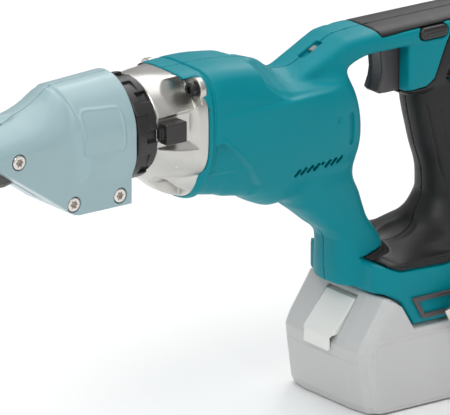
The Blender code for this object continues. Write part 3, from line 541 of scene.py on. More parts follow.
def centre_blade(x, y, z):
    """Flat ground faces, a bevelled back and a fork for the crank's roller."""
    flat = outline(CENTRE_BLADE, x, z)
    side = np.abs(y)
    d = smooth_max(flat, side - BLADE_FACE, 0.5)
    d = smooth_max(d, (flat + 2.2) * 0.6 + (side - BLADE_FACE) * 0.8, 0.4)
    return smooth_max(d, -rod_y(x, y, z, -5, 5, 4.4, HEAD_SCREWS["pivot"]), 0.3)


def side_blade(x, y, z):
    """One side blade: a flat plate, hollow-ground below its cutting edge."""
    flat = outline(SIDE_BLADE, x, z)
    d = smooth_max(flat, np.maximum(SIDE_BLADE_INNER - y, y - SIDE_BLADE_OUTER), 0.35)
    d = smooth_max(d, (flat + 1.6) * 0.6 + (y - SIDE_BLADE_OUTER) * 0.8, 0.3)
    return smooth_max(d, -rod_y(x, y, z, 0, 12, 2.8, HEAD_SCREWS["pivot"]), 0.3)


def other_side(field):
    return lambda x, y, z: field(x, -y, z)


piece("side_blade_ground_right", side_blade, (-115, 2, -9), (-68, 10, 11), 0.45, LOOKS["tool_steel"],
      "head", ["side_blade_right"])
piece("side_blade_ground_left", other_side(side_blade), (-115, -10, -9), (-68, -2, 11), 0.45,
      LOOKS["tool_steel"], "head", ["side_blade_left"])
piece("centre_blade_ground", centre_blade, (-111, -5, -21), (-22, 5, 18), 0.4, LOOKS["tool_steel"],
      "blade", ["centre_blade"])

# ---- swivel ring and gear housing ----
RING_R, RING_BORE, NOTCHES, LOCK_Z = 27.8, 20.9, 8, 1.0
STEP_SHIFT = radians(11)


def swivel_ring(x, y, z):
    """A smooth collar with a stepped panel above each notch for the lock."""
    radius = np.hypot(y, z)
    start = pi - asin(LOCK_Z / RING_R)
    pitch = 2 * pi / NOTCHES

    def across(shift):
        angle = np.arctan2(z, y) - start + shift
        return ((angle + pitch / 2) % pitch - pitch / 2) * radius
    d = smooth_max(radius - RING_R, np.maximum(-12.6 - x, x + 0.4), 1.6)
    d = smooth_max(d, RING_BORE - radius, 0.4)
    notch = np.maximum(np.abs(across(0)) - 3.2, np.maximum(RING_R - 2.6 - radius, -7.5 - x))
    d = smooth_max(d, -notch, 0.5)
    panel = np.maximum(np.abs(across(STEP_SHIFT)) - 6.6, np.abs(x + 8.6) - 3.6)
    floor = RING_R - 1.25 + 0.10 * (across(STEP_SHIFT) + 6.6) - radius
    return smooth_max(d, -np.maximum(panel, floor), 0.45)


piece("swivel_collar", swivel_ring, (-14, -30, -30), (1.5, 30, 30), 0.42, LOOKS["black_plastic"],
      "head", ["swivel_ring"])

GEAR_HOUSING = [
    (0.2, 26.4, 0.0, -26.4, 26.4, 2.0, 2.0), (6.0, 26.6, -2.0, -28.6, 27.2, 2.2, 2.1),
    (14.0, 26.2, -5.0, -30.6, 27.8, 2.8, 2.4), (22.0, 25.8, -6.0, -32.0, 28.3, 3.5, 2.7),
    (31.3, 25.4, -6.0, -32.5, 28.7, 4.0, 2.9)]
KEEL = [(0.2, -15.0, -20.0, -26.2, 12.0, 2.4, 2.0), (8.0, -15.0, -22.0, -31.8, 15.0, 3.0, 2.2),
        (18.0, -15.0, -24.0, -39.4, 19.0, 3.4, 2.3), (31.0, -15.0, -26.0, -44.5, 22.0, 3.6, 2.3)]
gear_drum = upright_loft(GEAR_HOUSING)
gear_keel = upright_loft(KEEL)
CORNER_SCREWS = {"upper_left": (-21.0, 18.8), "upper_right": (21.0, 18.8),
                 "lower_left": (-11.5, -31.2), "lower_right": (11.5, -31.2)}
UPPER_CORNER = (21.0, 18.8)
LOWER_CORNER = (11.5, -31.2)
WELL_R, WELL_FLOOR = 4.5, 27.2
LOCK_FLOOR = -24.7        # how far left the bottom of the lock slider's pocket lies
CASTING_END = 31.0
MOTOR_Z = -21.6
BULKHEAD = [(24.0, 15.4, -6.0, -33.0, 15.4, 2.2, 2.2), (33.0, 15.4, -6.0, -33.0, 15.4, 2.2, 2.2)]
bulkhead = upright_loft(BULKHEAD)


def corner_facet(x, side, z):
    """The flat that is sliced off each upper corner, deeper towards its screw."""
    size = np.hypot(*UPPER_CORNER)
    out = (side * UPPER_CORNER[0] + z * UPPER_CORNER[1]) / size
    across = (z * UPPER_CORNER[0] - side * UPPER_CORNER[1]) / size
    slope = 28.8 - 0.275 * (x - 3.0) - out
    return np.maximum(np.maximum(slope, np.abs(across) - 9.5), x - WELL_FLOOR)


def lock_recess(x, y, z):
    """A pocket round the lock slider with sloping sides."""
    tilt = radians(48)
    top = plane(z, y, (LOCK_Z + 7.2, LOCK_FLOOR), tilt)
    under = plane(-z, y, (8.0 - LOCK_Z, LOCK_FLOOR), tilt)
    rear = plane(x, y, (20.8, LOCK_FLOOR), tilt)
    return np.maximum.reduce([top, under, rear, y - LOCK_FLOOR])


def gear_housing(x, y, z):
    side = np.abs(y)
    d = smooth_min(gear_drum(x, y, z), gear_keel(x, y, z), 0.8)
    d = smooth_min(d, rod_x(x, side, z, 21.0, CASTING_END, 5.9, UPPER_CORNER, 1.0), 1.2)
    d = smooth_min(d, rod_x(x, y, z, -11.0, 1.0, 20.4), 0.4)
    d = smooth_max(d, -rod_x(x, y, z, -12.0, 25.0, 16.4), 0.4)
    d = smooth_max(d, -rod_x(x, y, z, 3.0, 25.0, 20.8), 0.4)
    d = smooth_max(d, -rod_x(x, y, z, 3.0, 25.0, 7.0, (0, MOTOR_Z)), 0.4)
    d = smooth_max(d, -bulkhead(x, y, z), 0.3)
    d = smooth_max(d, -corner_facet(x, side, z), 0.5)
    d = smooth_max(d, -rod_x(x, side, z, 21.6, WELL_FLOOR, WELL_R, UPPER_CORNER), 0.5)
    d = smooth_max(d, -lock_recess(x, y, z), 0.5)
    well = rod_x(x, side, z, 8.0, WELL_FLOOR, WELL_R, LOWER_CORNER)
    across, height = LOWER_CORNER
    mouth = block(x, side, z, (6, across - WELL_R, -60), (WELL_FLOOR, across + WELL_R, height), 0.5)
    return smooth_max(d, -smooth_min(well, mouth, 0.4), 0.6)


piece("gear_housing_cast", gear_housing, (-13, -31, -47), (33, 31, 30), 0.5, LOOKS["cast_alloy"],
      "tool", ["gear_housing"])


def corner_screw(name, centre, node):
    """A dark pan head with a six-lobed recess and a plain shaft."""
    def field(x, y, z):
        d = rod_x(x, y, z, 23.4, 27.0, 3.9, centre, 1.1)
        d = smooth_min(d, rod_x(x, y, z, 24.0, 42.0, 2.0, centre), 0.3)
        angle = np.arctan2(z - centre[1], y - centre[0])
        lobes = np.hypot(y - centre[0], z - centre[1]) - 1.9 - 0.3 * np.cos(6 * angle)
        return smooth_max(d, -np.maximum(lobes, x - 25.4), 0.4)
    low = (21.5, centre[0] - 6, centre[1] - 6)
    high = (44.0, centre[0] + 6, centre[1] + 6)
    piece(name, field, low, high, 0.3, LOOKS["black_steel"], "tool", [node])


for label, centre in CORNER_SCREWS.items():
    corner_screw("torx_screw_" + label, centre, "gear_housing_screw_" + label)


def lock_slider(x, y, z):
    """A block with a slightly domed face, edges painted bright as wear and as a painted highlight, and finger ribs
    on its front.
    """
    d = block(x, y, z, (2.0, -31.4, LOCK_Z - 5.5), (15.0, -24.9, LOCK_Z + 5.5), 0.6)
    dome = np.hypot(y + 10.0, (z - LOCK_Z) * 0.6) - 21.5
    d = smooth_max(d, dome, 0.4)
    d = smooth_min(d, block(x, y, z, (0.1, -28.0, LOCK_Z - 2.8), (4, -25.2, LOCK_Z + 2.8), 0.3), 0.3)
    rib = np.abs((z - LOCK_Z) % 1.8 - 0.9) - 0.4
    front = np.maximum(x - 2.6, np.abs(z - LOCK_Z) - 4.3)
    return np.maximum(d, -np.maximum(np.maximum(rib, front), np.maximum(y + 28.3, -30.9 - y)))


piece("lock_slider", lock_slider, (-1.5, -33, LOCK_Z - 8), (17, -23, LOCK_Z + 8), 0.25,
      LOOKS["lock_finish"], "lock", ["head_lock_slider"])

# ---- clamshell, rubber grip ----
BARREL = [
    (31.3, 25.9, -8.0, -44.5, 28.8, 4.0, 2.1), (36.0, 26.3, -8.0, -45.5, 29.8, 4.0, 2.1),
    (45.0, 26.2, -8.0, -47.0, 31.0, 3.8, 2.2), (64.0, 24.2, -10.0, -50.0, 32.0, 3.6, 2.4),
    (74.0, 22.2, -11.0, -55.5, 32.0, 3.6, 2.4), (84.0, 19.4, -12.0, -59.0, 32.0, 3.6, 2.3),
    (95.0, 16.5, -13.0, -58.5, 31.5, 3.4, 2.2), (108.0, 14.0, -14.0, -57.0, 31.0, 3.2, 2.2),
    (120.0, 11.5, -17.0, -55.0, 29.5, 2.8, 2.1), (130.0, 8.0, -20.0, -52.0, 25.5, 2.4, 2.0),
    (137.0, -2.0, -24.0, -46.0, 17.0, 2.0, 2.0), (141.0, -15.0, -26.0, -37.0, 8.0, 2.0, 2.0)]
TOP_RAIL = [
    (98.0, 9.6, 4.0, -6.0, 15.0, 3.6, 2.4), (114.0, 17.0, 7.0, -4.0, 16.0, 5.0, 2.6),
    (124.0, 21.8, 11.0, 0.0, 16.6, 5.0, 2.8), (131.0, 24.4, 15.0, 8.0, 17.0, 4.6, 3.0),
    (146.0, 25.4, 17.6, 13.0, 17.5, 4.0, 3.4), (172.0, 25.6, 17.6, 12.6, 17.6, 3.6, 3.4),
    (214.0, 25.6, 16.0, -2.0, 18.0, 3.4, 3.2), (226.0, 22.6, 10.0, -10.0, 17.0, 2.8, 2.8),
    (234.0, 15.0, 0.0, -18.0, 13.0, 2.4, 2.4)]
SWITCH_HOUSING = [
    (169.5, 21.0, 5.0, -13.0, 16.0, 4.0, 4.4), (173.0, 21.0, 5.0, -15.5, 17.2, 4.0, 4.2),
    (214.0, 21.0, 5.0, -17.0, 17.8, 3.2, 3.2), (226.0, 20.0, 3.0, -18.0, 17.0, 2.8, 2.8),
    (234.0, 12.0, 0.0, -18.0, 13.0, 2.4, 2.4)]
GRIP = [
    (-102.0, 146.0, 249.0, 33.0, 4.0), (-94.0, 165.0, 247.0, 29.0, 3.0), (-88.0, 181.5, 243.0, 24.0, 2.6),
    (-81.0, 187.0, 239.0, 20.0, 2.4), (-72.0, 190.5, 236.0, 17.8, 2.3), (-62.0, 190.0, 234.0, 17.0, 2.3),
    (-45.0, 185.0, 233.0, 17.0, 2.3), (-20.0, 179.5, 235.0, 17.5, 2.4), (-8.0, 178.5, 236.0, 17.5, 2.5),
    (12.0, 181.0, 235.0, 16.5, 2.6)]
STRUT = [
    (-110.6, 127.0, 176.0, 22.0, 2.6), (-98.8, 126.0, 166.0, 18.5, 2.6), (-92.0, 126.0, 159.0, 16.8, 2.6),
    (-86.5, 125.8, 155.5, 16.5, 2.6), (-83.0, 124.0, 153.0, 16.5, 2.6), (-76.0, 115.5, 148.5, 16.5, 2.6),
    (-69.0, 107.0, 146.0, 17.0, 2.6), (-62.0, 98.5, 143.5, 18.0, 2.7), (-52.0, 93.0, 138.0, 20.5, 2.8),
    (-42.0, 92.0, 134.0, 24.0, 2.6)]
FOOT = [
    (136.0, -97.0), (136.0, -112.6), (142.4, -113.5), (146.0, -115.2), (151.0, -118.6),
    (159.0, -132.0), (250.0, -132.0), (250.0, -97.0)]
FOOT_PLAN = [
    (139.0, -18.0), (139.0, 18.0), (140.5, 25.0), (144.5, 30.0), (151.0, 32.3), (245.0, 32.3),
    (246.4, 27.0), (246.4, -27.0), (245.0, -32.3), (151.0, -32.3), (144.5, -30.0), (140.5, -25.0)]
FOOT_EDGE, FOOT_CORNER = 2.4, 3.2
RUBBER_ZONE = [
    (144.5, 40.0), (151.5, 21.9), (197.6, 23.0), (194.3, 14.0), (190.0, 4.0), (185.5, -7.0),
    (181.0, -10.5), (173.0, -11.0), (166.0, -13.0), (158.0, -30.0), (158.0, -80.0),
    (154.0, -92.0), (137.0, -96.0), (150.0, -101.5), (180.0, -103.0), (196.0, -99.8),
    (212.0, -92.0), (260.0, -92.0), (260.0, 40.0)]
SCOOP_EDGE = [(30, 90), (58, 60), (64, 27), (69, 14.5), (78, 8), (86, 5.5), (97, 5), (117, 4), (141, 0)]
SCOOP_SLOPE = [(60, 0.0), (66, 0.25), (72, 0.48), (80, 0.5), (86, 0.4), (91, 0.28), (110, 0.22)]
FRONT_PANEL = [(30.0, -11.0), (40.5, -11.0), (57.0, -27.0), (66.0, -40.0), (66.0, -64.0), (30.0, -64.0)]
RIGHT_SCREWS = [(140.0, 20.0), (222.0, 10.0), (208.0, -60.0), (126.0, -66.0), (238.0, -105.0)]
LEFT_SCREW = (198.0, -6.0)
VENTS = [88.5, 92.6, 96.8, 100.9, 108.4, 112.4, 116.4]
VENT_DOT = (104.8, -34.4)
VENT_LEAN = radians(-41)
VENT_ROW_Z, VENT_RISE = -36.6, 0.065
VENT_HALF_WIDTH, VENT_HALF_LENGTH, VENT_DOT_R = 0.95, 2.5, 1.1
VENT_FLOOR = 22.0
RUBBER_DEPTH, RUBBER_BACK = 2.2, 3.2     # the plastic under the rubber, and the rubber's own thickness
RAIL_BAY = 31.0
LIP_THICKNESS = 0.75
LIP_EDGE = [(-46, 27.6), (-36, 27.8), (-30, 28.4), (-26, 29.8), (-23, 31.6), (8, 31.6), (14, 29.5),
            (19, 26.0), (23, 23.0), (26, 21.0)]
LAMP_TILT = radians(27)
LAMP = (116.5, 18.6)

barrel = upright_loft(BARREL)
top_rail = upright_loft(TOP_RAIL)
switch_housing = upright_loft(SWITCH_HOUSING)
grip = level_loft(GRIP)
strut = level_loft(STRUT)


def clamshell(x, y, z):
    """The whole moulded outside, before it is parted into plastic and rubber."""
    side = np.abs(y)
    d = barrel(x, y, z)
    roof = z - follow(x, SCOOP_EDGE) - follow(x, SCOOP_SLOPE) * (28 - side)
    d = smooth_max(d, roof * 0.85, 0.9)
    d = d + 0.9 * step(z, 3.6, 5.0) * step(x, 37, 44) * step(-x, -121, -112) * step(side, 24, 28)
    panel = outline(FRONT_PANEL, x, z)
    d = d + 3.4 * step(-panel, -0.8, 1.6) * step(x, 33, 39) * step(side, 12, 24)
    d = d - 0.5 * np.exp(-((panel - 1.2) / 0.9) ** 2) * step(x, 36, 40) * step(side, 12, 24)
    d = d + 1.0 * step(-z, 29.0, 30.4) * step(-x, -54, -48) * step(x, 33, 36)
    d = smooth_min(d, strut(x, y, z), 5.0)
    rail = smooth_min(top_rail(x, y, z), switch_housing(x, y, z), 1.2)
    d = smooth_min(d, rail, 2.4 + 6.0 * step(x, 106, 122))
    foot = smooth_max(outline(FOOT, x, z), rounded(FOOT_PLAN, x, y, FOOT_CORNER), FOOT_EDGE)
    low = smooth_min(grip(x, y, z), foot, 3.0)
    d = smooth_min(d, low, 1.2)
    hollow = ball(x, y, z, (168.5, 0, -84.5), (16.5, 15.0, 11.5))
    return smooth_max(d, -hollow, 1.2)


def openings(d, x, y, z):
    """Trigger, buttons, lamp, screws, vents and motor shaft."""
    side = np.abs(y)
    d = smooth_max(d, -block(x, y, z, (150.0, -7.2, -13.4), (184, 7.2, 13.0), 1.0), 0.8)
    lock = np.hypot(np.maximum(np.abs(x - 185) - 5.8, 0), z - 19) - 3.7
    d = smooth_max(d, -lock, 0.8)
    for place_x, place_z in RIGHT_SCREWS:
        d = smooth_max(d, -rod_y(x, y, z, 10.5, 40, 4.0, (place_x, place_z)), 0.6)
    d = smooth_max(d, -rod_y(x, y, z, -40, -10.5, 4.2, LEFT_SCREW), 1.6)
    lamp_x, lamp_z = turned(x, z, LAMP, LAMP_TILT)
    d = smooth_max(d, -block(lamp_x, y, lamp_z, (-7, -2.6, -3.2), (7, 2.6, 6), 0.8), 0.5)
    for vent_x in VENTS:
        vent_z = VENT_ROW_Z + VENT_RISE * (vent_x - VENTS[0])
        along, across = turned(x, z, (vent_x, vent_z), VENT_LEAN)
        slot = np.maximum(np.abs(along) - VENT_HALF_WIDTH, np.abs(across) - VENT_HALF_LENGTH)
        d = smooth_max(d, -np.maximum(slot, VENT_FLOOR - side), 0.3)
    dot = np.hypot(x - VENT_DOT[0], z - VENT_DOT[1]) - VENT_DOT_R
    d = smooth_max(d, -np.maximum(dot, VENT_FLOOR - side), 0.3)
    return smooth_max(d, -bulkhead(x - 7, y, z), 0.3)


def housing_lip(x, y, z):
    """The thin front edge of the clamshell that laps over the gear housing above and below."""
    along = np.minimum(x, CASTING_END)
    casting = smooth_min(gear_drum(along, y, z), gear_keel(along, y, z), 0.8)
    lip = smooth_max(casting - LIP_THICKNESS, -casting - 1.2, 0.3)
    away = np.maximum(15 - np.abs(z + 7.5), x - 33)
    lip = smooth_max(smooth_max(lip, follow(z, LIP_EDGE) - x, 0.7), away, 0.3)
    return smooth_max(lip, -rod_x(x, np.abs(y), z, 0.0, CASTING_END, 6.4, UPPER_CORNER), 0.3)


def housing(x, y, z):
    """The plastic halves: a groove behind the gear housing, a bay for the rails, and what is moulded in."""
    side = np.abs(y)
    d = clamshell(x, y, z)
    zone = outline(RUBBER_ZONE, x, z)
    plastic = smooth_max(d, -zone, 0.7)
    d = np.minimum(plastic, d + RUBBER_DEPTH)
    groove = np.hypot(x - 34.6, np.minimum(d, 0) * 0.8) - 0.85
    d = smooth_max(d, -groove, 0.3)
    bay = block(x, y, z, (100, -RAIL_BAY, -150), (262, RAIL_BAY, -113.2), 0.5)
    bay = np.maximum(bay, 140 - x)
    d = smooth_max(d, -bay, 0.4)
    slot = np.hypot(x - 123.5, np.maximum(np.abs(z + 19) - 7, 0)) - 1.7
    d = d + 1.4 * step(-slot, -0.5, 0.5) * (side > 15)
    dot = np.hypot(x - 114, z + 12) - 1.7
    d = d + 0.8 * step(-dot, -0.4, 0.4) * (y < -15)
    lip = housing_lip(x, y, z)
    d = np.minimum(d, lip)
    return openings(d, x, y, z)


def grip_line(z):
    """How far back the fine moulded lines of the grip lie at each height."""
    return follow(-z, [(14, 187.0), (22, 184.5), (36, 188.0), (52, 192.0), (66, 196.0), (78, 199.0)])


def rubber(x, y, z):
    """The soft skin round the grip, with two fine lines down each side."""
    side = np.abs(y)
    skin = clamshell(x, y, z)
    zone = outline(RUBBER_ZONE, x, z)
    d = smooth_max(smooth_max(skin, zone + 0.25, 0.8), -(skin + RUBBER_BACK), 0.3)
    d = d + 0.55 * step(-zone, 4.2, 3.4) * step(-z, 88, 92)
    for offset in (0.0, 6.0):
        line = np.abs(x - grip_line(z) - offset) - 0.3
        depth = 0.5 * step(-line, -0.4, 0.2) * step(side, 8, 11) * step(-z, 20, 24) * step(z, -72, -62)
        d = d + depth
    return openings(d, x, y, z)


halves("clamshell", housing, (19, -38, -136), (254, 38, 31), 0.75, "teal_plastic", "tool",
       ("housing_left", "housing_right"))
halves("grip_skin", rubber, (132, -38, -108), (254, 38, 31), 0.75, "rubber", "tool",
       ("grip_rubber_left", "grip_rubber_right"))

# ---- controls ----
TRIGGER_HALF = 6.5
LOCK_OFF = (185.0, 19.0)
LOCK_OFF_STRAIGHT, LOCK_OFF_R = 5.8, 3.3
TRIGGER = [(159.0, 11.6), (159.6, 6.0), (160.2, 0.0), (159.4, -5.0), (157.9, -8.6), (157.2, -10.6),
           (158.6, -11.9), (163.0, -12.1), (176.0, -12.1), (176.0, 11.9)]


def trigger(x, y, z):
    """A finger lever with a hollow front, rounded edges and a small hook below."""
    d = smooth_max(rounded(TRIGGER, x, z, 0.9), np.abs(y) - TRIGGER_HALF, 2.2)
    hollow = np.hypot(x - 146.0, (z - 1.0) * 0.62) - 14.2
    return smooth_max(d, -smooth_max(hollow, np.abs(y) - 4.6, 1.5), 0.8)


def lock_off(x, y, z):
    """An oval push button with a raised bar across its face."""
    beside = np.maximum(np.abs(x - LOCK_OFF[0]) - LOCK_OFF_STRAIGHT, 0)
    oval = np.hypot(beside, z - LOCK_OFF[1]) - LOCK_OFF_R
    d = smooth_max(oval, np.maximum(-18.3 - y, y - 17.0), 1.6)
    bar = block(x, y, z, (177.6, -19.2, 18.2), (191.6, -17.3, 20.2), 0.8)
    return smooth_min(d, bar, 0.4)


def lens(x, y, z):
    """The lamp's small window, level with the slope it sits in."""
    along, across = turned(x, z, (119.4, 17.8), LAMP_TILT)
    return block(along, y, across, (-2.4, -2.4, -1.0), (2.4, 2.4, 0.8), 0.8)


piece("trigger_lever", trigger, (155, -8, -14), (178, 8, 14), 0.38, LOOKS["grey_plastic"], "trigger",
      ["trigger"])
piece("lock_off_oval", lock_off, (173, -21, 13), (197, 19, 25), 0.38, LOOKS["lock_finish"], "lock_off",
      ["lock_off_button"])
piece("lamp_window", lens, (113, -4, 15), (124, 4, 24), 0.3, LOOKS["lens"], "tool", ["lamp_lens"])


def side_screw(name, centre, side, node):
    """A pan-head screw, let into the side of the clamshell."""
    def field(x, y, z):
        out = y * side
        d = rod_y(x, out, z, 10.8, 13.9, 3.6, centre, 1.1)
        d = smooth_min(d, rod_y(x, out, z, -13.4, 12.0, 1.8, centre), 0.3)
        angle = np.arctan2(z - centre[1], x - centre[0])
        lobes = np.hypot(x - centre[0], z - centre[1]) - 1.75 - 0.28 * np.cos(6 * angle)
        return smooth_max(d, -np.maximum(lobes, 12.4 - out), 0.3)
    low = (centre[0] - 5, -16, centre[1] - 5)
    high = (centre[0] + 5, 16, centre[1] + 5)
    piece(name, field, low, high, 0.32, LOOKS["black_steel"], "tool", [node])


for number, centre in enumerate(RIGHT_SCREWS, 1):
    side_screw("side_screw_%d" % number, centre, 1, "housing_screw_%d" % number)
side_screw("side_screw_left", LEFT_SCREW, -1, "grip_screw")

# ---- foot bumpers and hook ----
BUMPER = [(156.4, -116.4), (163.4, -129.0), (208.0, -129.0), (208.0, -116.4)]
BUMPER_WIDTH = 2.7


def bumper(x, y, z):
    """A raised rubber frame round a sunk panel."""
    edge = outline(BUMPER, x, z)
    frame_part = smooth_max(edge, -edge - BUMPER_WIDTH, 0.4)
    return smooth_max(frame_part, np.maximum(-37.2 - y, y + 35.7), 0.7)


piece("bumper_frame_left", bumper, (154, -39, -131), (210, -34, -114), 0.35, LOOKS["grey_plastic"], "tool",
      ["foot_bumper_left"])
piece("bumper_frame_right", other_side(bumper), (154, 34, -131), (210, 39, -114), 0.35,
      LOOKS["grey_plastic"], "tool", ["foot_bumper_right"])
HOOK_ANCHOR, HOOK_SCREW = (226.0, -106.0), (228.0, -106.0)
HOOK_TILT = radians(27)
HOOK_PATH = [(12.0, -38.1), (-9.0, -38.1), (-15.0, -45.7), (-52.0, -45.7), (-54.8, -42.9),
             (-56.5, -44.5), (-53.0, -47.9), (-13.8, -47.9), (-7.6, -40.2), (12.0, -40.2)]


def hanging_hook(x, y, z):
    """A bent strip of polished steel on a spacer, its tip turned back in."""
    along, across = turned(x, z, HOOK_ANCHOR, HOOK_TILT)
    width = 10.0 - 2.0 * step(-along, 50, 57)
    d = smooth_max(outline(HOOK_PATH, along, y), np.abs(across) - width, 0.5)
    spacer = block(along, y, across, (-8.0, -38.6, -8.0), (11.0, -35.85, 8.0), 0.5)
    d = smooth_min(d, spacer, 0.4)
    return smooth_max(d, -rod_y(x, y, z, -45, -30, 2.4, HOOK_SCREW), 0.3)


def hook_screw(x, y, z):
    """A pan head with a cross recess and a plain shaft."""
    d = rod_y(x, y, z, -43.1, -40.5, 4.0, HOOK_SCREW, 1.2)
    d = smooth_min(d, rod_y(x, y, z, -42.0, -32.3, 1.8, HOOK_SCREW), 0.3)
    cross = np.minimum(np.maximum(np.abs(x - HOOK_SCREW[0]) - 0.55, np.abs(z - HOOK_SCREW[1]) - 2.4),
                       np.maximum(np.abs(z - HOOK_SCREW[1]) - 0.55, np.abs(x - HOOK_SCREW[0]) - 2.4))
    return smooth_max(d, -np.maximum(cross, y + 41.6), 0.3)


piece("hook_strip", hanging_hook, (168, -50, -144), (242, -34, -90), 0.5, LOOKS["bright_steel"], "tool",
      ["hanging_hook"])
piece("hook_screw_pan", hook_screw, (222, -45, -112), (234, -31, -100), 0.32, LOOKS["black_steel"], "tool",
      ["hook_screw"])

# ---- battery ----
BATTERY_BASE, BATTERY_HALF, BATTERY_REAR = -177.0, 37.5, 249.6
BATTERY_FRONT = [(-177.0, 129.6), (-172.0, 127.0), (-160.0, 125.4), (-150.0, 124.0), (-142.0, 123.2),
                 (-137.0, 125.6), (-129.6, 130.6), (-121.0, 136.4), (-114.4, 140.4), (-100.0, 148.0)]
BATTERY_CORNER = [(0, 0.0), (20, 0.0), (31, 1.7), (35.0, 3.8), (37.0, 6.2), (37.5, 9.0)]
BATTERY_TOP = [(100.0, -114.4), (140.4, -114.4), (145.7, -115.8), (150.4, -119.1), (158.4, -132.6),
               (260.0, -132.6)]
SIDE_PANEL = [(136.8, -141.2), (240.0, -141.2), (240.0, -172.0), (136.8, -172.0)]
BUTTON_HALF = 12.5
SEAM = [(100.0, -148.0), (131.8, -148.0), (131.8, -141.0), (136.4, -136.5), (270.0, -136.5),
        (270.0, -90.0), (100.0, -90.0)]


def battery_block(x, y, z):
    """The outside of the pack: faceted front corners, a slope below the foot, raised side panels."""
    side = np.abs(y)
    into = x - follow(z, BATTERY_FRONT)
    front = (follow(side, BATTERY_CORNER) - into) * 0.72
    d = smooth_max(front, side - BATTERY_HALF, 1.2)
    d = smooth_max(d, (z - follow(x, BATTERY_TOP)) * 0.85, 1.2)
    d = smooth_max(d, BATTERY_BASE - z, 1.4)
    rear = np.maximum(x - BATTERY_REAR, 0.62 * (x - 244.0) + 0.62 * (side - 33.0) - 3.2)
    d = smooth_max(d, rear, 2.0)
    panel = rounded(SIDE_PANEL, x, z, 4.5)
    d = d + 0.7 * step(panel, -0.5, 0.4) * step(side, 32, 34)
    d = d + 0.35 * np.exp(-((panel + 1.6) / 0.5) ** 2) * step(side, 32, 34)
    rails = block(x, y, z, (150.0, -30.4, -136.0), (249.5, 30.4, -113.6), 0.8)
    d = smooth_min(d, rails, 0.4)
    terminals = block(x, y, z, (178.0, -14.5, -126.5), (262.0, 14.5, -108.0), 0.8)
    d = smooth_max(d, -terminals, 0.4)
    depth = np.where(z > -136.5, 4.2, 0.6)
    pocket = np.maximum(smooth_max(side - BUTTON_HALF - 0.4, -141.3 - z, 0.8), into - depth)
    return smooth_max(d, -np.maximum(pocket, z + 117.6), 0.5)


def battery_cover(x, y, z):
    """The upper moulding; a thin skirt of it shows in the joint with the tub."""
    d = battery_block(x, y, z)
    seam = outline(SEAM, x, z)
    lapped = np.minimum(np.maximum(d, seam + 0.05), np.maximum(d + 0.2, seam - 2.5))
    hollow = block(x, y, z, (144.5, -27.5, -152.0), (246.0, 27.5, -129.5), 0.5)
    return np.maximum(lapped, -hollow)


def battery_tub(x, y, z):
    """The lower moulding, open inside for the cells."""
    d = battery_block(x, y, z)
    hollow = block(x, y, z, (139.0, -34.0, -174.0), (246.0, 34.0, -100.0), 0.5)
    return np.maximum(np.maximum(d, 0.05 - outline(SEAM, x, z)), -hollow)


BUTTON = [(137.4, -119.4), (121.4, -138.2), (121.0, -145.4), (122.9, -145.4), (122.6, -137.2),
          (129.4, -137.2), (141.4, -122.4), (141.4, -119.4)]


def release_button(x, y, z):
    """A sloping press plate with a lip below for the thumb."""
    narrow = 1.6 * step(-z, 137.4, 138.6)
    return smooth_max(outline(BUTTON, x, z), np.abs(y) - BUTTON_HALF + narrow, 0.9)


piece("battery_cover_moulded", battery_cover, (119, -39, -150), (252, 39, -111), 0.8, LOOKS["pale_plastic"],
      "battery", ["battery_cover"])
piece("battery_tub_moulded", battery_tub, (120, -39, -179), (252, 39, -135), 0.8, LOOKS["pale_plastic"],
      "battery", ["battery_case"])
piece("battery_button", release_button, (118, -14, -147), (144, 14, -117), 0.42, LOOKS["white_plastic"],
      "battery_button", ["battery_release_button"])

# ---- camera, light, floor ----
VIEW_AZIMUTH, VIEW_ELEVATION, VIEW_DISTANCE = radians(-36.5), radians(18.3), 6.0
VIEW_AIM = place(62.2, 0.0, -57.6)
LENS_MM, SENSOR_MM = 926.4, 36.0
FLOOR_REACH, FLOOR_GAP = 40, 0.0002      # metres from the middle to the edge, and below the battery's base


def make_camera():
    back = Vector((sin(VIEW_AZIMUTH) * cos(VIEW_ELEVATION), -cos(VIEW_AZIMUTH) * cos(VIEW_ELEVATION),
                   sin(VIEW_ELEVATION)))
    data = bpy.data.cameras.new("camera")
    data.lens, data.sensor_width, data.clip_end = LENS_MM, SENSOR_MM, 50
    camera = bpy.data.objects.new("camera", data)
    camera.location = VIEW_AIM + back * VIEW_DISTANCE
    camera.rotation_euler = (-back).to_track_quat('-Z', 'Y').to_euler()
    bpy.context.scene.collection.objects.link(camera)
    bpy.context.scene.camera = camera


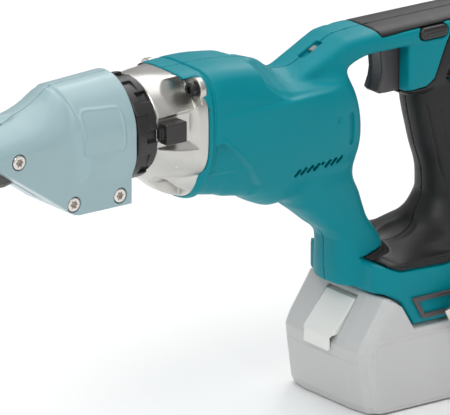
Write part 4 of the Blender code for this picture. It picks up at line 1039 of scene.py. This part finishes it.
def make_lamp(name, location, aim, size, watts):
    data = bpy.data.lights.new(name, 'AREA')
    data.shape = 'RECTANGLE'
    data.size, data.size_y = size
    data.energy = watts
    lamp = bpy.data.objects.new(name, data)
    lamp.location = location
    lamp.rotation_euler = (Vector(aim) - Vector(location)).to_track_quat('-Z', 'Y').to_euler()
    bpy.context.scene.collection.objects.link(lamp)


def make_lamps():
    aim = place(62.2, 0.0, -40.0)
    make_lamp("key", (-1.3, -0.7, 1.5), aim, (0.7, 0.7), 11)
    make_lamp("side_strip", (-0.2, -1.8, 0.9), aim, (0.4, 1.2), 2.5)
    make_lamp("rear_strip", (0.9, 0.9, 1.0), aim, (0.3, 1.2), 3.5)
    make_lamp("overhead", (0.3, 0.5, 2.2), aim, (2.4, 2.4), 24)


def make_sky():
    """A pale surround, dimmer near the floor."""
    world = bpy.data.worlds.new("studio")
    world.use_nodes = True
    nodes, links = world.node_tree.nodes, world.node_tree.links
    where = nodes.new("ShaderNodeTexCoord")
    axes = nodes.new("ShaderNodeSeparateXYZ")
    height = nodes.new("ShaderNodeMapRange")
    height.inputs["From Min"].default_value = 0.0
    height.inputs["From Max"].default_value = 0.8
    height.inputs["To Min"].default_value = 0.20
    height.inputs["To Max"].default_value = 0.62
    links.new(where.outputs["Generated"], axes.inputs["Vector"])
    links.new(axes.outputs["Z"], height.inputs["Value"])
    links.new(height.outputs["Result"], nodes["Background"].inputs["Strength"])
    nodes["Background"].inputs["Color"].default_value = (1, 1, 1, 1)
    bpy.context.scene.world = world
    bpy.context.scene.view_settings.view_transform = 'Standard'


def make_floor():
    mesh = bpy.data.meshes.new("floor")
    corners = [(-FLOOR_REACH, -FLOOR_REACH, 0), (FLOOR_REACH, -FLOOR_REACH, 0),
               (FLOOR_REACH, FLOOR_REACH, 0), (-FLOOR_REACH, FLOOR_REACH, 0)]
    mesh.from_pydata(corners, [], [(0, 1, 2, 3)])
    floor = bpy.data.objects.new("floor", mesh)
    floor.location.z = -FLOOR_GAP
    mesh.materials.append(material("floor_paint", (0.97, 0.97, 0.97), 0.7, 0, 0.01, 3, 200, 0.02))
    bpy.context.scene.collection.objects.link(floor)


make_camera()
make_lamps()
make_sky()
make_floor()
